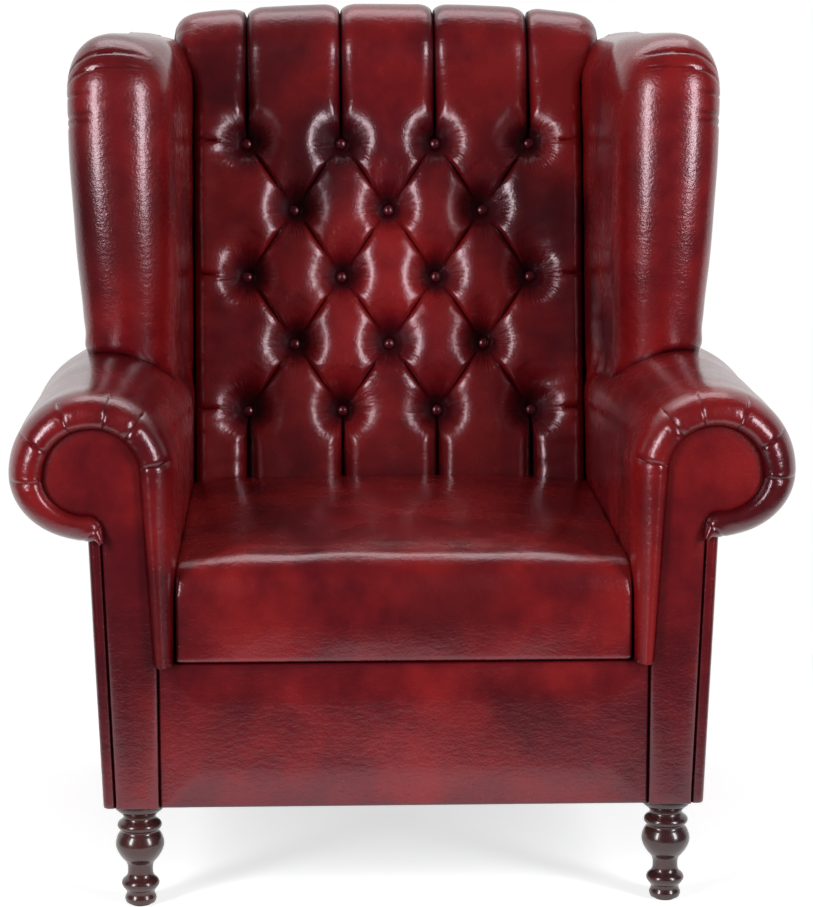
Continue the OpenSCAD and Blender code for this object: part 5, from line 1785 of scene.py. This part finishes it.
    def outside(self, side: Side) -> bpy.types.Object:
        """Builds the panel outside the wing, with its rear end."""
        lay = self.layout
        start = float(round_steps(self.reach, self.rim_steps)[self.wrap_steps]) - 0.004
        bend = self.reach - start
        heights = np.concatenate([np.linspace(0.0, 1.0, 60), 1.0 + np.linspace(0.0, 1.0, 12)[1:]])
        shares = np.linspace(0.0, 1.0, 56)
        around = np.linspace(0.0, 1.0, 9)[1:]
        rows = []
        for share in heights:
            over = max(0.0, share - 1.0)
            base = mix(lay.wing_low, self.corner_z, min(share, 1.0)) + bend * math.sin(over * QUARTER)
            z = np.full(len(shares), base)
            for _ in range(3):
                centre = self.front(self.corner_z) + self.reach
                seam = centre - bend * math.cos(over * QUARTER) if over > 0.0 else self.front(z) + start
                y = mix(seam, self.rear(z), shares)
                edge = y - self.front(z)
                in_corner = (y < centre) & (z > self.corner_z)
                gap = np.where(in_corner, self.reach - np.hypot(y - centre, z - self.corner_z),
                               np.minimum(edge, lay.wing_top - z))
                place, _ = self.skin(y, z, gap, np.zeros(len(y), bool), np.full(len(y), 9.0))
                if share < 1.0:
                    z = mix(self.foot(place[:, 0], y), self.corner_z, share)
            place[:, 0] -= self.panel_in + self.panel_seam * (1.0 - smooth((y - seam) / 0.006))
            tail = np.stack([mix(place[-1, 0], self.ear_half, around), np.full(len(around), place[-1, 1]),
                             np.full(len(around), place[-1, 2])], axis=-1)
            rows.append(np.concatenate([place, tail]))
        panel = Bench.sheet("wing_panel", np.array(rows), 0.95)
        low = self.corner_z + bend
        rows = []
        for z in np.linspace(low, lay.wing_top, 12):
            y = float(self.rear(z))
            gap = np.array([lay.wing_top - z])
            ends = [self.skin(np.array([y]), np.array([z]), gap, np.array([within]), np.array([9.0]))[0][0]
                    for within in (False, True)]
            ends[0][0] -= self.panel_in
            rows.append(mix(ends[0], ends[1], np.concatenate([[0.0], around])[:, None]))
        cap = Bench.sheet("wing_cap", np.array(rows), 0.95)
        piece = Bench.joined([panel, cap], "outside_wing_leather_right")
        Bench.thicken(piece, LEATHER_THICK)
        Bench.shade(piece, ROUND_SHADE)
        return self.arm.sided(piece, side, BODY_LEATHER, "body_leather", "outside_wing_leather",
                              "outside_wing")

    def build(self, side: Side) -> None:
        """Builds the wing of one side."""
        self.inside(side)
        self.outside(side)


@dataclass
class Legs:
    """The turned front legs and the square rear legs."""

    layout: Layout
    turning: tuple[tuple[float, float], ...] = (
        (0.0, 0.62), (0.02, 0.655), (0.055, 0.655), (0.075, 0.61), (0.11, 0.60), (0.15, 0.73), (0.185, 0.80),
        (0.22, 0.755), (0.255, 0.60), (0.325, 0.53), (0.40, 0.60), (0.45, 0.78), (0.52, 0.96), (0.57, 1.02),
        (0.62, 1.0), (0.68, 0.90), (0.715, 0.80), (0.725, 0.80), (0.745, 0.90), (0.765, 0.935), (0.80, 0.88),
        (0.83, 0.72), (0.87, 0.70), (0.90, 0.84), (0.94, 1.02), (1.0, 1.04),
    )
    rear_round: float = 0.003

    def front(self, side: Side) -> bpy.types.Object:
        """Builds a turned front leg."""
        node = f"front_leg_{side.tail}"
        low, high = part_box(node)
        radius = (high.x - low.x) / 2.0 / self.turning[-1][1]
        centre = ((low.x + high.x) / 2.0, (low.y + high.y) / 2.0)
        stations = np.array(self.turning)
        fine = np.linspace(0.0, 1.0, 90)
        profile = self.curve(stations, fine)
        turns = np.linspace(0.0, 2.0 * math.pi, 57)[:-1]
        Bench.deselect()
        bpy.ops.mesh.primitive_cylinder_add(vertices=len(turns), radius=1.0, depth=1.0, end_fill_type="NGON")
        piece = bpy.context.object
        piece.name = piece.data.name = f"turned_leg_{side.tail}"
        bpy.ops.object.mode_set(mode="EDIT")
        bpy.ops.mesh.select_all(action="DESELECT")
        bpy.ops.object.mode_set(mode="OBJECT")
        for edge in piece.data.edges:
            a, b = (piece.data.vertices[i].co for i in edge.vertices)
            edge.select = abs(a.z - b.z) > 0.5
        bpy.ops.object.mode_set(mode="EDIT")
        bpy.ops.mesh.subdivide_edgering(number_cuts=len(fine) - 2)
        bpy.ops.object.mode_set(mode="OBJECT")
        for vertex in piece.data.vertices:
            share = min(1.0, max(0.0, vertex.co.z + 0.5))
            reach = radius * float(np.interp(share, fine, profile))
            flat = math.hypot(vertex.co.x, vertex.co.y)
            vertex.co = (centre[0] + vertex.co.x / flat * reach, centre[1] + vertex.co.y / flat * reach,
                         mix(low.z, high.z, share))
        Bench.shade(piece, FIRM_SHADE)
        Bench.place(piece, LEG_WOOD, "leg_wood", [node])
        return piece

    @staticmethod
    def curve(stations: Points, fine: Points) -> Points:
        """Radii along a smooth line through the stations of a turning."""
        heights, radii = stations[:, 0], stations[:, 1]
        slopes = np.gradient(radii, heights)
        slot = np.clip(np.searchsorted(heights, fine, side="right") - 1, 0, len(heights) - 2)
        span = heights[slot + 1] - heights[slot]
        t = (fine - heights[slot]) / span
        low, high = slopes[slot] * span, slopes[slot + 1] * span
        return ((2 * t**3 - 3 * t**2 + 1) * radii[slot] + (t**3 - 2 * t**2 + t) * low
                + (3 * t**2 - 2 * t**3) * radii[slot + 1] + (t**3 - t**2) * high)

    def rear(self, side: Side) -> bpy.types.Object:
        """Builds a square rear leg."""
        node = f"rear_leg_{side.tail}"
        piece = Bench.block(f"raked_leg_{side.tail}", node, self.rear_round)
        Bench.place(piece, LEG_WOOD, "leg_wood", [node])
        return piece

    def build(self, side: Side) -> None:
        """Builds the legs of one side."""
        self.front(side)
        self.rear(side)


@dataclass
class Insides:
    """What the covers hide: foam, felt, webbing and the dust cover, and the finishes of the rest."""

    frame: Mapping[str, Any]
    layout: Layout
    pads: tuple[str, ...] = (
        "seat_foam", "back_foam", "arm_foam_left", "arm_foam_right", "wing_foam_left", "wing_foam_right",
        "border_foam",
    )
    ease: float = 0.004
    pad_round: float = 0.0012
    cloth_round: float = 0.0003
    cloths: ClassVar[dict[str, Finish]] = {
        "webbing_lengthwise": WEBBING, "webbing_crosswise": WEBBING,
        "webbing_felt": FELT, "dust_cover": LINING,
    }
    finishes: ClassVar[dict[str, Finish]] = {
        "beech": BEECH, "plywood": PLYWOOD, "steel": STEEL, "brass": BRASS, "glide": GLIDE, "twine": TWINE,
        "body_leather": BODY_LEATHER, "leg_wood": LEG_WOOD,
    }

    def slim(self, piece: bpy.types.Object) -> None:
        """Draws an arm's foam in where its leather gets slimmer."""
        lay = self.layout
        x, y, z = Bench.places(piece).T
        half, rise = lay.roll_half(y)
        out = np.abs(x) - lay.roll_x
        out = np.where(out > 0.0, out * half / lay.roll_r, out)
        z = np.where(z > lay.roll_z, lay.roll_z + (z - lay.roll_z) * rise / lay.roll_r, z)
        Bench.put(piece, np.stack([np.sign(x) * (out + lay.roll_x), y, z], axis=-1))

    def build(self) -> None:
        """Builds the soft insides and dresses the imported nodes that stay."""
        for node in self.pads:
            piece = Bench.block(f"{node}_pad", node, self.pad_round, segments=2, shrink=self.ease)
            if node.startswith("arm"):
                self.slim(piece)
            Bench.place(piece, CUSHION_FOAM, "foam", [node], fill=1.0)
        for node, finish in self.cloths.items():
            piece = Bench.block(f"{node}_cloth", node, self.cloth_round, segments=2)
            Bench.place(piece, finish, finish.name, [node])
        for node in self.frame["nodes"].values():
            if node.hide_render:
                continue
            for slot in node.material_slots:
                name = slot.material.name.split(".")[0]
                if name in self.finishes:
                    slot.material = self.finishes[name].material()
            LOG.info("%s keeps its packed shape", node.name)


@dataclass
class Studio:
    """The camera, the lights and the pale floor."""

    eye: tuple[float, float, float] = (-0.110, -3.610, 1.110)
    pitch: float = math.radians(10.0)
    yaw: float = math.radians(2.0)
    lens: float = 113.8
    sensor: float = 36.0
    floor_r: float = 1.3
    floor_down: float = 0.0002
    floor_glow: float = 0.66
    fill: float = 0.09
    target: tuple[float, float, float] = (0.0, 0.0, 0.55)
    lamps: tuple[tuple[str, tuple[float, float, float], tuple[float, float], float], ...] = (
        ("left_softbox", (-2.2, -2.4, 1.5), (0.62, 2.0), 76.0),
        ("right_softbox", (2.2, -2.3, 1.5), (0.62, 2.0), 70.0),
        ("overhead_softbox", (0.0, 1.0, 2.8), (2.2, 0.9), 17.0),
    )

    def camera(self) -> None:
        """Sets up the camera at the photograph's viewpoint."""
        data = bpy.data.cameras.new("camera")
        data.lens = self.lens
        data.sensor_width = self.sensor
        camera = bpy.data.objects.new("camera", data)
        camera.location = self.eye
        camera.rotation_euler = Euler((QUARTER - self.pitch, 0.0, -self.yaw))
        bpy.context.scene.collection.objects.link(camera)
        bpy.context.scene.camera = camera

    def lamp(self, name: str, place: Sequence[float], size: tuple[float, float], power: float) -> None:
        """Adds a soft rectangular lamp that faces the target.

        Args:
            name: Its name.
            place: Where it stands.
            size: Its width and height.
            power: Its power in watts.
        """
        data = bpy.data.lights.new(name, "AREA")
        data.shape = "RECTANGLE"
        data.size, data.size_y = size
        data.energy = power
        lamp = bpy.data.objects.new(name, data)
        lamp.location = place
        lamp.rotation_euler = (Vector(self.target) - Vector(place)).to_track_quat("-Z", "Y").to_euler()
        bpy.context.scene.collection.objects.link(lamp)

    @staticmethod
    def seen(paint: Paint) -> tuple[Wire, Wire]:
        """Which rays show the background.

        Args:
            paint: The tree that asks.

        Returns:
            1 for the camera's rays, and 1 for rays that gloss or glass sends on.
        """
        camera = paint.node("ShaderNodeLightPath", {}, out="Is Camera Ray")
        gloss = paint.node("ShaderNodeLightPath", {}, out="Is Glossy Ray")
        glass = paint.node("ShaderNodeLightPath", {}, out="Is Transmission Ray")
        return camera, gloss.math("MAXIMUM", glass)

    def floor(self) -> None:
        """Lays the round pale floor, which keeps the chair's shadow and fades out at its rim."""
        Bench.deselect()
        bpy.ops.mesh.primitive_circle_add(vertices=96, radius=self.floor_r, fill_type="NGON",
                                          location=(0.0, 0.0, -self.floor_down))
        floor = bpy.context.object
        floor.name = "studio_floor"
        paint = Paint(bpy.data.materials.new("studio_floor"))
        camera, other = self.seen(paint)
        plain = paint.node("ShaderNodeBsdfDiffuse", {"Color": (0.80, 0.80, 0.80)})
        glow = paint.node("ShaderNodeEmission", {"Color": (1.0, 1.0, 1.0), "Strength": self.floor_glow})
        both = paint.node("ShaderNodeAddShader", {0: plain, 1: glow})
        lit = paint.node("ShaderNodeMixShader", {0: camera.math("MAXIMUM", other), 1: plain, 2: both})
        away = paint.node("ShaderNodeVectorMath", {0: paint.place()}, out="Value", operation="LENGTH")
        clear = paint.node("ShaderNodeBsdfTransparent", {})
        rim = away.band(self.floor_r * 0.55, self.floor_r * 0.98)
        shader = paint.node("ShaderNodeMixShader", {0: rim, 1: lit, 2: clear})
        floor.data.materials.append(paint.close(shader, "ShaderNodeOutputMaterial"))

    def sky(self) -> None:
        """Fills the studio with even light before a white backdrop, which stands behind the chair."""
        world = bpy.data.worlds.new("studio")
        bpy.context.scene.world = world
        paint = Paint(world)
        camera, other = self.seen(paint)
        way = paint.node("ShaderNodeTexCoord", {}, out="Generated")
        behind = paint.node("ShaderNodeSeparateXYZ", {"Vector": way}, out="Y").band(0.1, 0.5)
        white = camera.math("MAXIMUM", other * behind)
        soft = paint.node("ShaderNodeBackground", {"Color": (0.92, 0.95, 1.0), "Strength": self.fill})
        paper = paint.node("ShaderNodeBackground", {"Color": (1.0, 1.0, 1.0), "Strength": 1.0})
        paint.close(paint.node("ShaderNodeMixShader", {0: white, 1: soft, 2: paper}), "ShaderNodeOutputWorld")

    def build(self) -> None:
        """Builds the studio."""
        bpy.context.scene.view_settings.view_transform = "Standard"
        self.camera()
        self.floor()
        self.sky()
        for lamp in self.lamps:
            self.lamp(*lamp)


def main(frame: Mapping[str, Any]) -> None:
    """Builds the chair's looks in order.

    Args:
        frame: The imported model.
    """
    logging.basicConfig(level=logging.INFO, format="%(message)s")
    Studio().build()
    layout = Layout.measured()
    ButtonedBack(layout).build()
    Seat(layout).build()
    arm = Arm(layout)
    wing = Wing(layout, arm)
    legs = Legs(layout)
    for side in Side:
        arm.build(side)
        wing.build(side)
        legs.build(side)
    Insides(frame, layout).build()


if __name__ == "__main__":
    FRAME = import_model()
    main(FRAME)
